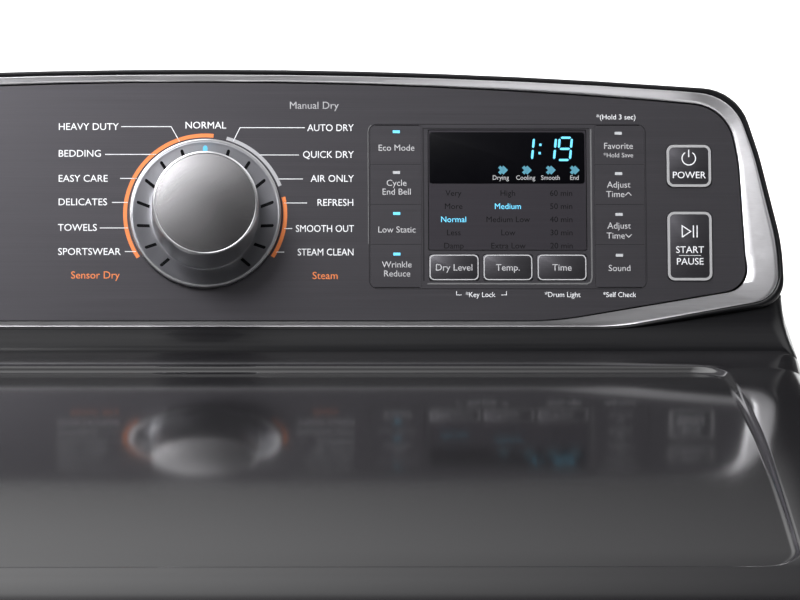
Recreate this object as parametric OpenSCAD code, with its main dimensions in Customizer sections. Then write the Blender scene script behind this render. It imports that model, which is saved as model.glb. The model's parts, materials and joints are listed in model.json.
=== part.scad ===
// Clothes dryer: a free-standing front-loading tumble dryer with a raked console at the back of its top.
// Frame: +Z up, -Y is the front, origin on the floor at the centre of the machine's box. Millimetres.

/* [Cabinet] */
// Width over the side panels
body_w = 700; // [690:1:702]
// Plane of the front panel, in front of the origin
front_y = -300; // [-304:1:-298]
// Plane of the rear panel, behind the origin
rear_y = 350; // [348:1:352]
// Furthest forward point of the door glass, and furthest back of the exhaust collar, from the origin
reach_y = 373.5; // [372:0.5:375]
// Thickness of the painted sheet panels
skin = 1; // [0.8:0.1:1.2]
// Height of the underside of the base pan
pan_z = 30; // [28:1:32]
// Height at which the front, side and rear panels meet the top panel
seam_z = 938; // [930:1:940]

/* [Top panel] */
// Highest point of the crowned top
crown_z = 1006.5; // [1005:0.5:1010]
// Radius of the crown, front to back
crown_r = 1700; // [1600:50:2000]
// Where the crown is highest, front to back
crown_y = -16; // [-20:1:-10]
// Depth of the glossy recess
recess_depth = 3; // [2:0.5:4]
// Height of the deck that carries the console
deck_z = 1004; // [1003:0.5:1005]

/* [Console] */
// How far the console face leans back from upright
rake = 24; // [22:1:26]
// Lower edge of the console face, front to back
face_y = 153; // [151:1:155]
// Height of the lower edge of the console face
face_z = 1015; // [1014:0.5:1016]
// Half width of the console face
face_hw = 341; // [338:1:341]
// Height of the console face along its slope
face_h = 155; // [153:1:157]
// Height of the dial's centre above the lower edge, along the slope
dial_v = 68; // [66:1:70]

/* [Drum] */
// Outer radius of the drum
drum_r = 320; // [316:1:321]
// Height of the drum's axis
drum_z = 600; // [598:1:602]
// Radius of the loading throat
throat_r = 203; // [200:1:204]

/* [Door] */
// Width and height of the door
door_size = 520; // [516:1:522]
// Plane of the door frame's front face
door_front_y = -363; // [-365:1:-362]

/* [Travel] */
// How far a levelling foot can be screwed out
foot_travel = 20; // [10:1:25]

/* [Hidden] */
$fn = 96;

side_x = body_w / 2;
gap = 0.3;           // clearance between neighbouring pieces
pan_t = 1.5;         // base pan sheet
pan_rim = 28;        // height of the rim round the base pan
foot_x = 300;
foot_front_y = -255;
foot_rear_y = 305;
foot_pad_r = 22;
foot_pad_h = 12;
foot_nut_r = 13;
foot_boss_r = 12;
stud_r = 5;
stud_engaged = 25;   // length of stud still in the machine when the foot is fully out
flange_w = 16;       // inward flanges of the side panels
running = 0.05;      // radial clearance of a running fit

// Top panel
top_sheet = 1.2;
nose_r = 36;
recess_front_y = -260;
recess_rear_y = 106;
deck_y = 140;        // foot of the console

// Console
shell_t = 3;
shell_depth = 190;   // how far the console runs back behind its face
console_rear_y = rear_y - 8;
face_drop = 2.6;
rim = 3;             // width of the dark rim round the trim
trim_w = -9;
trim_top = 2.5;
fascia_t = 3;
bezel_r = 44.7;
bezel_seat_r = 43.1;
bowl_r = 31.9;
knob_r = 31.3;
knob_cap_r = 31;
knob_h = 36;
lamp_w = 2.1;
lamp_pitch = 20;     // degrees between dial positions
lamp_count = 15;
encoder_shaft_r = 3;
encoder_r = 16;
encoder_neck_r = 6;
encoder_w = [-21, -8, -4];  // back, front of the can, end of the neck
bezel_back = -12;
bezel_lip = 3.6;
knob_wall = 2.5;
knob_skirt = -10;
hub_r = 8;

// Keypad, in face coordinates: [left, bottom, right, top]
key_back = -2.4;     // underside of every key
outlined_proud = 0.6;
option_proud = 0.3;
column_proud = 0.1;
outlined_corner = 4;
option_corner = 2;
lens_corner = 1;
lens_w = [-2.6, -0.6];
board = [-60, 18, 300, 128];
board_w = [-27, -25.4];
chip = 22;
power_box = [271.9, 84.1, 298.3, 109.6];
start_box = [271.9, 28.0, 298.3, 69.4];
lens_box = [131.4, 46.4, 224.4, 118.4];
option_row = [28.2, 43.8];
option_cols = [[131.6, 160.8], [163.4, 192.4], [195.2, 224.2]];
left_col = [97.2, 127.2];
right_col = [229.4, 258.8];
key_rows = [24.2, 49.8, 73.8, 97.8, 121.2];

// Drum and drive
drum_front_y = -232;
drum_rear_y = 296;
drum_wall = 1.2;
lip_r = 306;
land_r = 300;
throat_t = 1.5;
bulkhead_front_y = -242;
bulkhead_rear_y = 302;
roller_r = 35;
roller_angle = 35;
roller_y = [262, 282];
roller_shaft_r = 6;
roller_play = 0.09;
roller_x = (drum_r + roller_r + 0.2) * sin(roller_angle);
roller_z = drum_z - (drum_r + roller_r + 0.2) * cos(roller_angle);
roller_collar_r = [10, 12];
land_wall = 2;       // sheet of the rings that carry the drum's ends
bead = 1.5;          // height of the ribs that guide the belt
baffle_inset = 16;
baffle_wall = 3;
belt_y = [96, 104];
belt_t = 2;
motor_x = 140;
motor_z = 125;
motor_r = 52;
motor_y = [-75, 45];
motor_neck_r = 24;
motor_neck_y = [-97, 72];
mount_y = [-60, 30];
motor_shaft_r = 8;
motor_shaft_y = [-204, 114];
pulley_r = 12;
pulley_flange = 4;
idler_x = 25;
idler_z = 118;
idler_r = 25;
idler_pin_r = 5;
idler_y = [90, 109.5];
arm_y = [110, 113];
arm_r = [14, 10];
pivot_x = 60;
pivot_z = 60;
pivot_pin_r = 6;
pivot_plate_y = [114, 118];

// Air path
blower_y = [-214, -128];
blower_r = 90;
blower_wall = 2;
wheel_r = 76;
wheel_y = [-198, -149];
wheel_hub_r = 16;
blade_r = 50;
blade_count = 24;
inlet_r = 45;
heater_x0 = 215;
heater_x1 = 325;
heater_z = 80;
heater_h = 108;
heater_front_y = -60;
coil_r = 4;
duct_x = 60;
duct_y = 346;
duct_z = 590;
exhaust_x = -75;
exhaust_z = 90;
exhaust_r = 50.8;
strain_r = 14.3;
strain_x = 250;
strain_z = 250;
valve_x = -285;
valve_z = 160;
valve_r = 13.2;
valve_body = 24;
filter_x = 108;
filter_y = [-268, -250];
filter_z = [205, 440];
filter_frame = 6;

// Door
door_z = 600;
door_back_y = -304;
door_wall = 3;
door_corner = 70;
window_size = 424;
window_corner = 100;
glass_r = 2700;      // radius of the pane's dome
glass_t = 5;
plug_r = 185;
plug_y = -274;
hinge_x = 268;
hinge_y = -334;
hinge_pin_r = 4;
hinge_knuckle_r = 7;
hinge_zs = [485, 715];
hinge_half = 11.7;   // half the height of a hinge arm
bracket_z = 18;      // height of a bracket's two lugs above and below the arm's middle
bracket_lug = 6;
strike_x = -238;

steel = [0.27, 0.26, 0.28];
dark = [0.13, 0.13, 0.14];
silver = [0.68, 0.67, 0.69];
zinc = [0.6, 0.62, 0.64];
white = [0.9, 0.9, 0.88];

// ---------- Outlines ----------

// Corner i of a closed polygon whose points are [x, y, radius], as an arc
function corner(p, i, steps) =
    let (
        n = len(p), c = p[i], a = p[(i + n - 1) % n], b = p[(i + 1) % n], r = c[2],
        u = [a[0] - c[0], a[1] - c[1]] / norm([a[0] - c[0], a[1] - c[1]]),
        v = [b[0] - c[0], b[1] - c[1]] / norm([b[0] - c[0], b[1] - c[1]]),
        half = acos(u * v) / 2,
        o = [c[0], c[1]] + (u + v) / norm(u + v) * r / sin(half),
        s = [c[0], c[1]] + u * r / tan(half) - o,
        e = [c[0], c[1]] + v * r / tan(half) - o,
        a0 = atan2(s[1], s[0]),
        turn = (atan2(e[1], e[0]) - a0 + 540) % 360 - 180
    )
    [for (k = [0:steps]) o + r * [cos(a0 + turn * k / steps), sin(a0 + turn * k / steps)]];

function rounded(p, steps = 8) =
    [for (i = [0:len(p) - 1]) each (p[i][2] > 0 ? corner(p, i, steps) : [[p[i][0], p[i][1]]])];

function box_outline(x0, y0, x1, y1, r) = rounded([[x0, y0, r], [x1, y0, r], [x1, y1, r], [x0, y1, r]], 6);

// A top edge that falls away from the middle as an arc of the given radius
function arched(half, height, radius, steps = 12) =
    [for (k = [0:steps]) let (x = half - 2 * half * k / steps) [x, height - x * x / 2 / radius, 0]];

// Outer edge of the console face, taken in by g all round
function console_outline(g) = let (w = face_hw - g, h = face_h - g, b = g - face_drop) rounded(concat(
    [[243, b, 150], [w, 17 + b, 17], [w - 1.5, 50, 120], [w - 14, 103, 150], [w - 26.5, h - 12.3, 30]],
    arched(278, h, 3900),
    [[26.5 - w, h - 12.3, 30], [14 - w, 103, 150], [1.5 - w, 50, 120], [-w, 17 + b, 17], [-243, b, 150]]
));

// Edge of the dark fascia inside the trim, grown by g
function fascia_outline(g) = let (w = face_hw - 22 + g) rounded(concat(
    [[205, 4.5 - g, 200], [w, 24 - g, 14], [w - 2, 45, 100], [w - 5, 98, 100], [w - 11.5, 132 + g, 26]],
    arched(262, face_h - 8.2 + g, 3200),
    [[11.5 - w, 132 + g, 26], [5 - w, 98, 100], [2 - w, 45, 100], [-w, 24 - g, 14], [-205, 4.5 - g, 200]]
));

// Glossy recess of the top, seen from above, grown by g
function recess_outline(g) = rounded([
    [-314 - g, recess_front_y - g, 22], [314 + g, recess_front_y - g, 22],
    [306.5 + g, -60, 900], [298 + g, recess_rear_y + g, 20],
    [-298 - g, recess_rear_y + g, 20], [-306.5 - g, -60, 900]
]);

// Height of the crown, or of a surface d beneath it
function crown_height(y, d = 0) = crown_z - crown_r + sqrt(pow(crown_r - d, 2) - pow(y - crown_y, 2));

// The nose is an arc that touches the crown from inside and ends upright at the front panel
nose_lean = asin((crown_y - front_y - nose_r) / (crown_r - nose_r));
nose_z = crown_z - crown_r + (crown_r - nose_r) * cos(nose_lean);

// Front to back section of the top, taken in by d
function top_section(d) =
    let (nose_y = front_y + nose_r, r = nose_r - d, y1 = nose_y - r * sin(nose_lean))
    concat(
        [[rear_y - d, seam_z - 10], [rear_y - d, deck_z - d], [deck_y, deck_z - d]],
        [for (k = [0:19]) let (y = recess_rear_y + (y1 - recess_rear_y) * k / 20) [y, crown_height(y, d)]],
        [for (k = [0:10])
            let (a = 90 + nose_lean + (90 - nose_lean) * k / 10) [nose_y + r * cos(a), nose_z + r * sin(a)]],
        [[front_y + d, seam_z - 10]]
    );

// ---------- Placing ----------

// Puts a drawing made in face coordinates (right, up the slope, outward) on the console face
module on_face() {
    translate([0, face_y, face_z]) rotate([90 - rake, 0, 0]) children();
}

module slab(points, w0, w1) {
    translate([0, 0, w0]) linear_extrude(w1 - w0) polygon(points);
}

// Extrudes a front view drawing (x, z) between two depths
module between_y(y0, y1) {
    translate([0, y1, 0]) rotate([90, 0, 0]) linear_extrude(y1 - y0) children();
}

// Extrudes a side view drawing (y, z) between two widths
module between_x(x0, x1) {
    translate([x0, 0, 0]) rotate([90, 0, 90]) linear_extrude(x1 - x0) children();
}

module rod_y(x, z, r, y0, y1) {
    translate([x, y0, z]) rotate([-90, 0, 0]) cylinder(r = r, h = y1 - y0);
}

module tube_y(x, z, r_out, r_in, y0, y1) {
    difference() {
        rod_y(x, z, r_out, y0, y1);
        rod_y(x, z, r_in, y0 - 1, y1 + 1);
    }
}

// Turns a section drawn as [radius, depth] about a front to back axis
module turned_y(x, z) {
    translate([x, 0, z]) rotate([-90, 0, 0]) rotate_extrude() children();
}

module block(x0, y0, z0, x1, y1, z1) {
    translate([x0, y0, z0]) cube([x1 - x0, y1 - y0, z1 - z0]);
}

// ---------- Console ----------

module console_solid(g) {
    on_face() {
        slab(console_outline(g), -shell_depth, rim / 2);
        slab(box_outline(-334.5 + g, -6 + g, 334.5 - g, 45, 2), -shell_depth, -1);
    }
}

module console_skirt(g) {
    hull() {
        block(-side_x + 1.5 + g, deck_y + g, deck_z - 1, side_x - 1.5 - g, console_rear_y - g,
              deck_z + 0.1);
        block(-335 + g, face_y + g, face_z - 0.2, 335 - g, console_rear_y - g, face_z - 0.1 - g / 3);
    }
}

module console_housing() {
    color(dark) difference() {
        intersection() {
            union() {
                console_solid(0);
                console_skirt(0);
            }
            block(-side_x, 100, deck_z, side_x, console_rear_y, 1200);
        }
        intersection() {
            union() {
                console_solid(shell_t);
                console_skirt(shell_t);
            }
            block(-side_x, 100, 900, side_x, console_rear_y - shell_t, 1200);
        }
        on_face() slab(console_outline(rim), -20, 10);
    }
}

module console_trim() {
    color(silver) on_face() difference() {
        slab(console_outline(rim + 0.1), trim_w, trim_top);
        slab(fascia_outline(0.2), trim_w - 1, trim_top + 1);
    }
}

module face_hole(b, r) {
    slab(box_outline(b[0] - gap, b[1] - gap, b[2] + gap, b[3] + gap, r + gap), -fascia_t - 1, 1);
}

module console_fascia() {
    color(steel) on_face() difference() {
        slab(fascia_outline(0), -fascia_t, 0);
        translate([0, dial_v, -fascia_t - 1]) cylinder(r = bezel_seat_r + gap, h = fascia_t + 2);
        face_hole(power_box, outlined_corner);
        face_hole(start_box, outlined_corner);
        face_hole(lens_box, lens_corner);
        for (c = option_cols) face_hole([c[0], option_row[0], c[1], option_row[1]], option_corner);
        for (c = [left_col, right_col]) face_hole([c[0], key_rows[0], c[1], key_rows[4]], option_corner);
    }
}

// Section of one dial lamp, [radius, height above the fascia], on the bezel's sloping face
function lamp_section() = [[32.6, -8], [32.6, -10], [40.8, -1.3], [40.8, 0.74]];

module lamp_blocks() {
    for (k = [0:lamp_count - 1])
        rotate([0, 0, 90 + (k - (lamp_count - 1) / 2) * lamp_pitch])
            translate([0, lamp_w / 2, 0]) rotate([90, 0, 0]) linear_extrude(lamp_w) polygon(lamp_section());
}

module dial_bezel() {
    color(silver) on_face() translate([0, dial_v, 0]) difference() {
        rotate_extrude() polygon([
            [bowl_r, bezel_back], [bezel_seat_r, bezel_back], [bezel_seat_r, 0.05], [bezel_r, 0.05],
            [bezel_r, bezel_lip - 0.6], [bezel_r - 0.5, bezel_lip], [bezel_r - 1.3, bezel_lip],
            [bezel_r - 2.9, bezel_lip / 2], [bowl_r + 0.5, -8.2], [bowl_r, -8.2]
        ]);
        lamp_blocks();
    }
}

module dial_lamps() {
    color(dark) on_face() translate([0, dial_v, 0]) lamp_blocks();
}

module dial_knob() {
    color(silver) on_face() translate([0, dial_v, 0]) {
        rotate_extrude() polygon([
            [0, -2.5], [hub_r, -2.5], [hub_r, knob_h - 4], [knob_r - knob_wall, knob_h - 4],
            [knob_r - knob_wall, knob_skirt], [knob_r, knob_skirt], [knob_r, knob_h - 4],
            [knob_cap_r, knob_h - 0.8], [knob_cap_r - 0.9, knob_h], [0, knob_h]
        ]);
        translate([0, 0, -19]) cylinder(r = encoder_shaft_r, h = 17);
    }
}

module dial_encoder() {
    color(dark) on_face() translate([0, dial_v, 0]) difference() {
        union() {
            translate([0, 0, encoder_w[0]]) cylinder(r = encoder_r, h = encoder_w[1] - encoder_w[0]);
            translate([0, 0, encoder_w[1] - 1])
                cylinder(r = encoder_neck_r, h = encoder_w[2] - encoder_w[1] + 1);
        }
        translate([0, 0, encoder_w[0] - 1]) cylinder(r = encoder_shaft_r + running, h = 20);
    }
}

module display_lens() {
    color([0.02, 0.02, 0.03]) on_face()
        slab(box_outline(lens_box[0], lens_box[1], lens_box[2], lens_box[3], lens_corner),
             lens_w[0], lens_w[1]);
}

module control_board() {
    color([0.05, 0.3, 0.15]) on_face() {
        slab(box_outline(board[0], board[1], board[2], board[3], 3), board_w[0], board_w[1]);
        for (x = [60:40:260]) slab(box_outline(x, 40, x + chip, 40 + chip, 1), board_w[1], -19);
        for (x = [board[0] + 10, board[2] - 10], v = [board[1] + 6, board[3] - 6])
            translate([x, v, -26]) cylinder(r = 4, h = 26 - fascia_t);
    }
}

// ---------- Keys ----------

module face_key(x0, v0, x1, v1, r, proud) {
    color(steel) on_face() slab(box_outline(x0, v0, x1, v1, r), key_back, proud);
}

module outlined_key(b) {
    face_key(b[0], b[1], b[2], b[3], outlined_corner, outlined_proud);
}

module column_key(column, row) {
    face_key(column[0], key_rows[row] + gap / 2, column[1], key_rows[row + 1] - gap / 2, 1.5,
             column_proud);
}

module option_key(i) {
    face_key(option_cols[i][0], option_row[0], option_cols[i][1], option_row[1], option_corner, option_proud);
}

// ---------- Cabinet ----------

module recess_cut(g, d) {
    intersection() {
        linear_extrude(1300) polygon(recess_outline(g));
        difference() {
            block(-side_x, front_y, 960, side_x, rear_y, 1100);
            between_x(-side_x - 1, side_x + 1) polygon(top_section(d));
        }
    }
}

module top_solid(t) {
    difference() {
        between_x(-side_x + t, side_x - t) polygon(top_section(t));
        recess_cut(t, recess_depth + t);
    }
}

module top_panel() {
    color(steel) difference() {
        top_solid(0);
        top_solid(top_sheet);
        block(-side_x - 1, front_y - 1, 900, side_x + 1, rear_y + 1, seam_z + 1);
    }
}

module side_panel() {
    y0 = front_y + skin + 0.1;
    y1 = rear_y - skin - 0.1;
    block(side_x - skin, y0, pan_z + pan_t, side_x, y1, seam_z);
    block(side_x - flange_w, y0, pan_z + 40, side_x - skin, y0 + skin, seam_z - 8);
    block(side_x - flange_w, y1 - skin, pan_z + 40, side_x - skin, y1, seam_z - 8);
}

module side_panel_right() {
    color(steel) side_panel();
}

module side_panel_left() {
    color(steel) mirror([1, 0, 0]) side_panel();
}

module rear_panel() {
    color(zinc) difference() {
        block(-side_x, rear_y - skin, pan_z + pan_t, side_x, rear_y, seam_z);
        rod_y(exhaust_x, exhaust_z, exhaust_r + 1.5, rear_y - 5, rear_y + 5);
        rod_y(strain_x, strain_z, strain_r, rear_y - 5, rear_y + 5);
        rod_y(valve_x, valve_z, valve_r + 2, rear_y - 5, rear_y + 5);
        for (row = [0:5], x = [-1, 1])
            block(x * 160 - 60, rear_y - 5, 690 + 24 * row, x * 160 + 60, rear_y + 5, 698 + 24 * row);
    }
}

module front_panel() {
    color(steel) {
        difference() {
            block(-side_x, front_y, pan_z + pan_t, side_x, front_y + skin, seam_z);
            rod_y(0, drum_z, throat_r, front_y - 5, front_y + 5);
            block(strike_x - 12, front_y - 5, door_z - 16, strike_x + 10, front_y + 5, door_z + 16);
        }
        difference() {
            tube_y(0, drum_z, throat_r + throat_t, throat_r, front_y, bulkhead_front_y - 1);
            filter_slot();
        }
    }
}

module base_pan() {
    x = side_x - skin - 0.2;
    y0 = front_y + skin + 0.2;
    y1 = rear_y - skin - 0.2;
    color(zinc) difference() {
        union() {
            block(-x, y0, pan_z, x, y1, pan_z + pan_t);
            for (s = [-1, 1]) block(s * (x - 1) - 1, y0, pan_z, s * (x - 1) + 1, y1, pan_z + pan_rim);
            block(-x, y0, pan_z, x, y0 + 2, pan_z + pan_rim);
            block(-x, y1 - 2, pan_z, x, y1, pan_z + pan_rim);
            for (sx = [-1, 1], y = [foot_front_y, foot_rear_y])
                translate([sx * foot_x, y, pan_z]) cylinder(r = foot_boss_r, h = 20);
            block(pivot_x - 24, pivot_plate_y[0], pan_z, pivot_x + 24, pivot_plate_y[1], pivot_z + 20);
            rod_y(pivot_x, pivot_z, pivot_pin_r, arm_y[0] - 6, pivot_plate_y[0] + 2);
        }
        for (sx = [-1, 1], y = [foot_front_y, foot_rear_y])
            translate([sx * foot_x, y, pan_z - 1]) cylinder(r = stud_r + running, h = 30);
        rod_y(exhaust_x, exhaust_z, exhaust_r + 1, rear_y - 8, rear_y);
    }
}

module foot(x, y) {
    color(dark) translate([x, y, 0]) {
        cylinder(r = foot_pad_r, h = foot_pad_h);
        translate([0, 0, foot_pad_h]) cylinder(r = foot_nut_r, h = pan_z - foot_pad_h - gap);
        cylinder(r = stud_r, h = pan_z + foot_travel + stud_engaged);
    }
}

// ---------- Drum ----------

module drum_shell() {
    color(white) turned_y(0, drum_z) polygon([
        [lip_r, drum_front_y + 10], [lip_r, drum_front_y], [drum_r, drum_front_y],
        [drum_r, 80], [drum_r + bead, 82], [drum_r + bead, 86], [drum_r, 88],
        [drum_r, 112], [drum_r + bead, 114], [drum_r + bead, 118], [drum_r, 120],
        [drum_r, drum_rear_y], [lip_r, drum_rear_y], [lip_r, drum_rear_y - 10],
        [lip_r + drum_wall, drum_rear_y - 10], [lip_r + drum_wall, drum_rear_y - drum_wall],
        [drum_r - drum_wall, drum_rear_y - drum_wall], [drum_r - drum_wall, drum_front_y + drum_wall],
        [lip_r + drum_wall, drum_front_y + drum_wall], [lip_r + drum_wall, drum_front_y + 10]
    ]);
}

// One baffle's section, from its foot on the drum to its rounded crest, taken in by g
function baffle_outline(g) = rounded([
    [g - 38, drum_r + 5, 0], [g - 26, 285, 20], [g - 12, 263 + g, 8], [12 - g, 263 + g, 8], [26 - g, 285, 20],
    [38 - g, drum_r + 5, 0]
], 5);

module drum_baffles() {
    color(white) intersection() {
        for (k = [0:2]) translate([0, 0, drum_z]) rotate([0, 120 * k, 0]) difference() {
            between_y(drum_front_y + baffle_inset, drum_rear_y - baffle_inset) polygon(baffle_outline(0));
            between_y(drum_front_y + baffle_inset + baffle_wall, drum_rear_y - baffle_inset - baffle_wall)
                polygon(baffle_outline(baffle_wall));
        }
        rod_y(0, drum_z, drum_r - drum_wall - 0.05, drum_front_y, drum_rear_y);
    }
}

module front_bulkhead() {
    color(zinc) difference() {
        union() {
            block(-338, bulkhead_front_y, 66, 338, bulkhead_front_y + skin, 932);
            rod_y(0, drum_z, land_r, bulkhead_front_y, drum_front_y + 14);
        }
        rod_y(0, drum_z, land_r - land_wall, bulkhead_front_y + skin, drum_front_y + 20);
        rod_y(0, drum_z, throat_r + throat_t, bulkhead_front_y - 5, bulkhead_front_y + 5);
        rod_y(motor_x, motor_z, inlet_r + 3, bulkhead_front_y - 5, bulkhead_front_y + 5);
    }
}

// Grid of holes that lets the warm air into the back of the drum
module air_holes() {
    for (i = [0:5], j = [0:5])
        rod_y(75 + 26 * i, 440 + 24 * j, 6, bulkhead_rear_y - 1, bulkhead_rear_y + 5);
}

module rear_bulkhead() {
    color(zinc) difference() {
        union() {
            block(-338, bulkhead_rear_y, 220, 338, bulkhead_rear_y + skin, 932);
            tube_y(0, drum_z, land_r, land_r - land_wall, drum_rear_y - 14, bulkhead_rear_y + 1);
        }
        air_holes();
    }
    color(zinc) for (side = [-1, 1]) {
        rod_y(side * roller_x, roller_z, roller_shaft_r, roller_y[0] - 8, bulkhead_rear_y + skin);
        rod_y(side * roller_x, roller_z, roller_collar_r[1], roller_y[1] + gap, bulkhead_rear_y + skin);
        rod_y(side * roller_x, roller_z, roller_collar_r[0], roller_y[0] - 5, roller_y[0] - gap);
    }
}

module drum_seals() {
    color([0.75, 0.72, 0.65]) {
        tube_y(0, drum_z, lip_r - gap, land_r + gap, bulkhead_front_y + skin + 0.2, drum_front_y + 12);
        tube_y(0, drum_z, lip_r - gap, land_r + gap, drum_rear_y - 12, bulkhead_rear_y - 0.2);
    }
}

module drum_roller(side) {
    color(dark)
        tube_y(side * roller_x, roller_z, roller_r, roller_shaft_r + roller_play, roller_y[0], roller_y[1]);
}

module belt_loop(extra) {
    hull() {
        translate([0, drum_z]) circle(r = drum_r + gap + extra, $fn = 200);
        translate([motor_x, motor_z]) circle(r = pulley_r + gap + extra, $fn = 60);
        translate([idler_x, idler_z]) circle(r = idler_r + gap + extra, $fn = 60);
    }
}

module drum_belt() {
    color(dark) between_y(belt_y[0], belt_y[1]) difference() {
        belt_loop(belt_t);
        belt_loop(0);
    }
}

// ---------- Drive ----------

module drive_motor() {
    color(zinc) difference() {
        union() {
            rod_y(motor_x, motor_z, motor_r, motor_y[0], motor_y[1]);
            rod_y(motor_x, motor_z, motor_neck_r, motor_neck_y[0], motor_neck_y[1]);
            for (x = [motor_x - 35, motor_x + 35])
                block(x - 5, mount_y[0], pan_z + pan_t, x + 5, mount_y[1], motor_z - 10);
            block(motor_x - 55, mount_y[0], pan_z + pan_t, motor_x + 55, mount_y[1], pan_z + pan_t + 2);
        }
        rod_y(motor_x, motor_z, motor_shaft_r + running, -100, 80);
    }
}

module motor_pulley() {
    color(zinc) {
        rod_y(motor_x, motor_z, motor_shaft_r, motor_shaft_y[0], motor_shaft_y[1]);
        rod_y(motor_x, motor_z, pulley_r, belt_y[0] - 4, belt_y[1] + 4);
        rod_y(motor_x, motor_z, pulley_r + pulley_flange, belt_y[0] - 6, belt_y[0] - 4);
        rod_y(motor_x, motor_z, pulley_r + pulley_flange, belt_y[1] + 4, belt_y[1] + 6);
    }
}

module blower_wheel() {
    color(white) {
        difference() {
            union() {
                rod_y(motor_x, motor_z, wheel_r, wheel_y[1] - 3, wheel_y[1]);
                rod_y(motor_x, motor_z, wheel_hub_r, wheel_y[0] + 2, wheel_y[1]);
            }
            rod_y(motor_x, motor_z, motor_shaft_r, -210, -100);
        }
        difference() {
            for (k = [0:blade_count - 1])
                translate([motor_x, 0, motor_z]) rotate([0, 360 / blade_count * k, 0])
                    block(blade_r, wheel_y[0] + 2, -1, wheel_r - 0.5, wheel_y[1] - 2, 1);
            rod_y(motor_x, motor_z, blade_r + 0.5, -210, -100);
        }
        tube_y(motor_x, motor_z, wheel_r, wheel_r - 6, wheel_y[0], wheel_y[0] + 3);
    }
}

module blower_volume(t) {
    rod_y(motor_x, motor_z, blower_r - t, blower_y[0] + t, blower_y[1] - t);
    block(exhaust_x - 54 + t, blower_y[0] + t, pan_z + 6 + t, motor_x, blower_y[1] - t, 144 - t);
}

module blower_housing() {
    color(white) difference() {
        union() {
            blower_volume(0);
            rod_y(motor_x, motor_z, inlet_r + 2, filter_y[1], blower_y[0] + 1);
        }
        blower_volume(blower_wall);
        rod_y(motor_x, motor_z, inlet_r, filter_y[1] - 5, blower_y[0] + 5);
        rod_y(motor_x, motor_z, motor_shaft_r + 2, blower_y[1] - 5, blower_y[1] + 5);
        rod_y(exhaust_x, exhaust_z, exhaust_r - 1, blower_y[1] - 5, blower_y[1] + 5);
    }
}

module idler_arm() {
    color(zinc) {
        difference() {
            between_y(arm_y[0], arm_y[1]) hull() {
                translate([pivot_x, pivot_z]) circle(r = arm_r[0]);
                translate([idler_x, idler_z]) circle(r = arm_r[1]);
            }
            rod_y(pivot_x, pivot_z, pivot_pin_r + running, 100, 120);
        }
        rod_y(idler_x, idler_z, idler_pin_r, idler_y[0] - 2, arm_y[1] - 1);
    }
}

module idler_pulley() {
    color(dark) tube_y(idler_x, idler_z, idler_r, idler_pin_r + running, idler_y[0], idler_y[1]);
}

// ---------- Heat and air ----------

module heater_box() {
    color(zinc) difference() {
        union() {
            block(heater_x0, heater_front_y, heater_z, heater_x1, duct_y, heater_z + heater_h);
            block(duct_x, bulkhead_rear_y + skin, heater_z, heater_x1, duct_y, duct_z);
        }
        block(heater_x0 + skin, heater_front_y - 1, heater_z + skin, heater_x1 - skin, duct_y - skin,
              heater_z + heater_h - skin);
        block(duct_x + skin, bulkhead_rear_y + 2 * skin, heater_z + skin, heater_x1 - skin, duct_y - skin,
              duct_z - skin);
        air_holes();
    }
}

module heater_coil() {
    color([0.5, 0.3, 0.2]) {
        for (z = [28, 54, 80], x = [25, 55, 85])
            rod_y(heater_x0 + x, heater_z + z, coil_r, heater_front_y + 30, 250);
        for (y = [-20, 110, 240])
            block(heater_x0 + 10, y, heater_z + 16, heater_x1 - 10, y + 3, heater_z + heater_h - 16);
    }
}

module exhaust_duct() {
    color(zinc) difference() {
        union() {
            rod_y(exhaust_x, exhaust_z, exhaust_r - 1.3, blower_y[1] - 1.5, rear_y + 1);
            rod_y(exhaust_x, exhaust_z, exhaust_r, rear_y + 0.5, reach_y);
        }
        rod_y(exhaust_x, exhaust_z, exhaust_r - 2.5, blower_y[1] - 5, reach_y + 5);
    }
}

// The gap in the bottom of the throat that the filter slides through
module filter_slot() {
    block(-filter_x - 4, filter_y[0] - 4, 180, filter_x + 4, filter_y[1] + 4, 445);
}

module lint_duct() {
    color(zinc) difference() {
        union() {
            block(-filter_x - 8, filter_y[0] - 6, 172, filter_x + 8, bulkhead_front_y, 440);
            block(-filter_x - 8, filter_y[0] - 6, 66, 200, bulkhead_front_y, 200);
        }
        filter_slot();
        block(-filter_x - 4, filter_y[0] - 4, 192, filter_x + 4, bulkhead_front_y + 1, 445);
        block(-filter_x - 6, filter_y[0] - 4, 68, 198, bulkhead_front_y + 1, 198);
        rod_y(0, drum_z, throat_r + throat_t + gap, front_y, bulkhead_front_y + 5);
    }
}

module lint_filter() {
    color(silver) {
        difference() {
            block(-filter_x, filter_y[0], filter_z[0], filter_x, filter_y[1], filter_z[1]);
            rod_y(0, drum_z, throat_r + 0.5, filter_y[0] - 5, filter_y[1] + 5);
            for (y = [filter_y[0] - 1, filter_y[1] - 8])
                block(filter_frame - filter_x, y, filter_z[0] + 8, filter_x - filter_frame, y + 9, 385);
        }
        block(-34, filter_y[0], 388, 34, filter_y[1], 410);
    }
}

module steam_valve() {
    color(white) difference() {
        union() {
            block(valve_x - valve_body, 290, valve_z - valve_body, valve_x + valve_body, rear_y - skin - 1,
                  valve_z + valve_body);
            rod_y(valve_x, valve_z, valve_r, rear_y - 6, rear_y + 16);
            rod_y(valve_x, valve_z + 10, 5, 262, 291);
        }
        rod_y(valve_x, valve_z, 9, rear_y - 8, rear_y + 20);
    }
}

// ---------- Door ----------

module door_plate(size, r, y0, y1) {
    between_y(y0, y1) polygon(box_outline(-size / 2, door_z - size / 2, size / 2, door_z + size / 2, r));
}

// Finger pocket in the door's free edge, grown by g
module pull_pocket(g) {
    block(-door_size / 2 - 5, -346 - g, door_z - 70 - g, -door_size / 2 + 26 + g, -318 + g, door_z + 70 + g);
}

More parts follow.
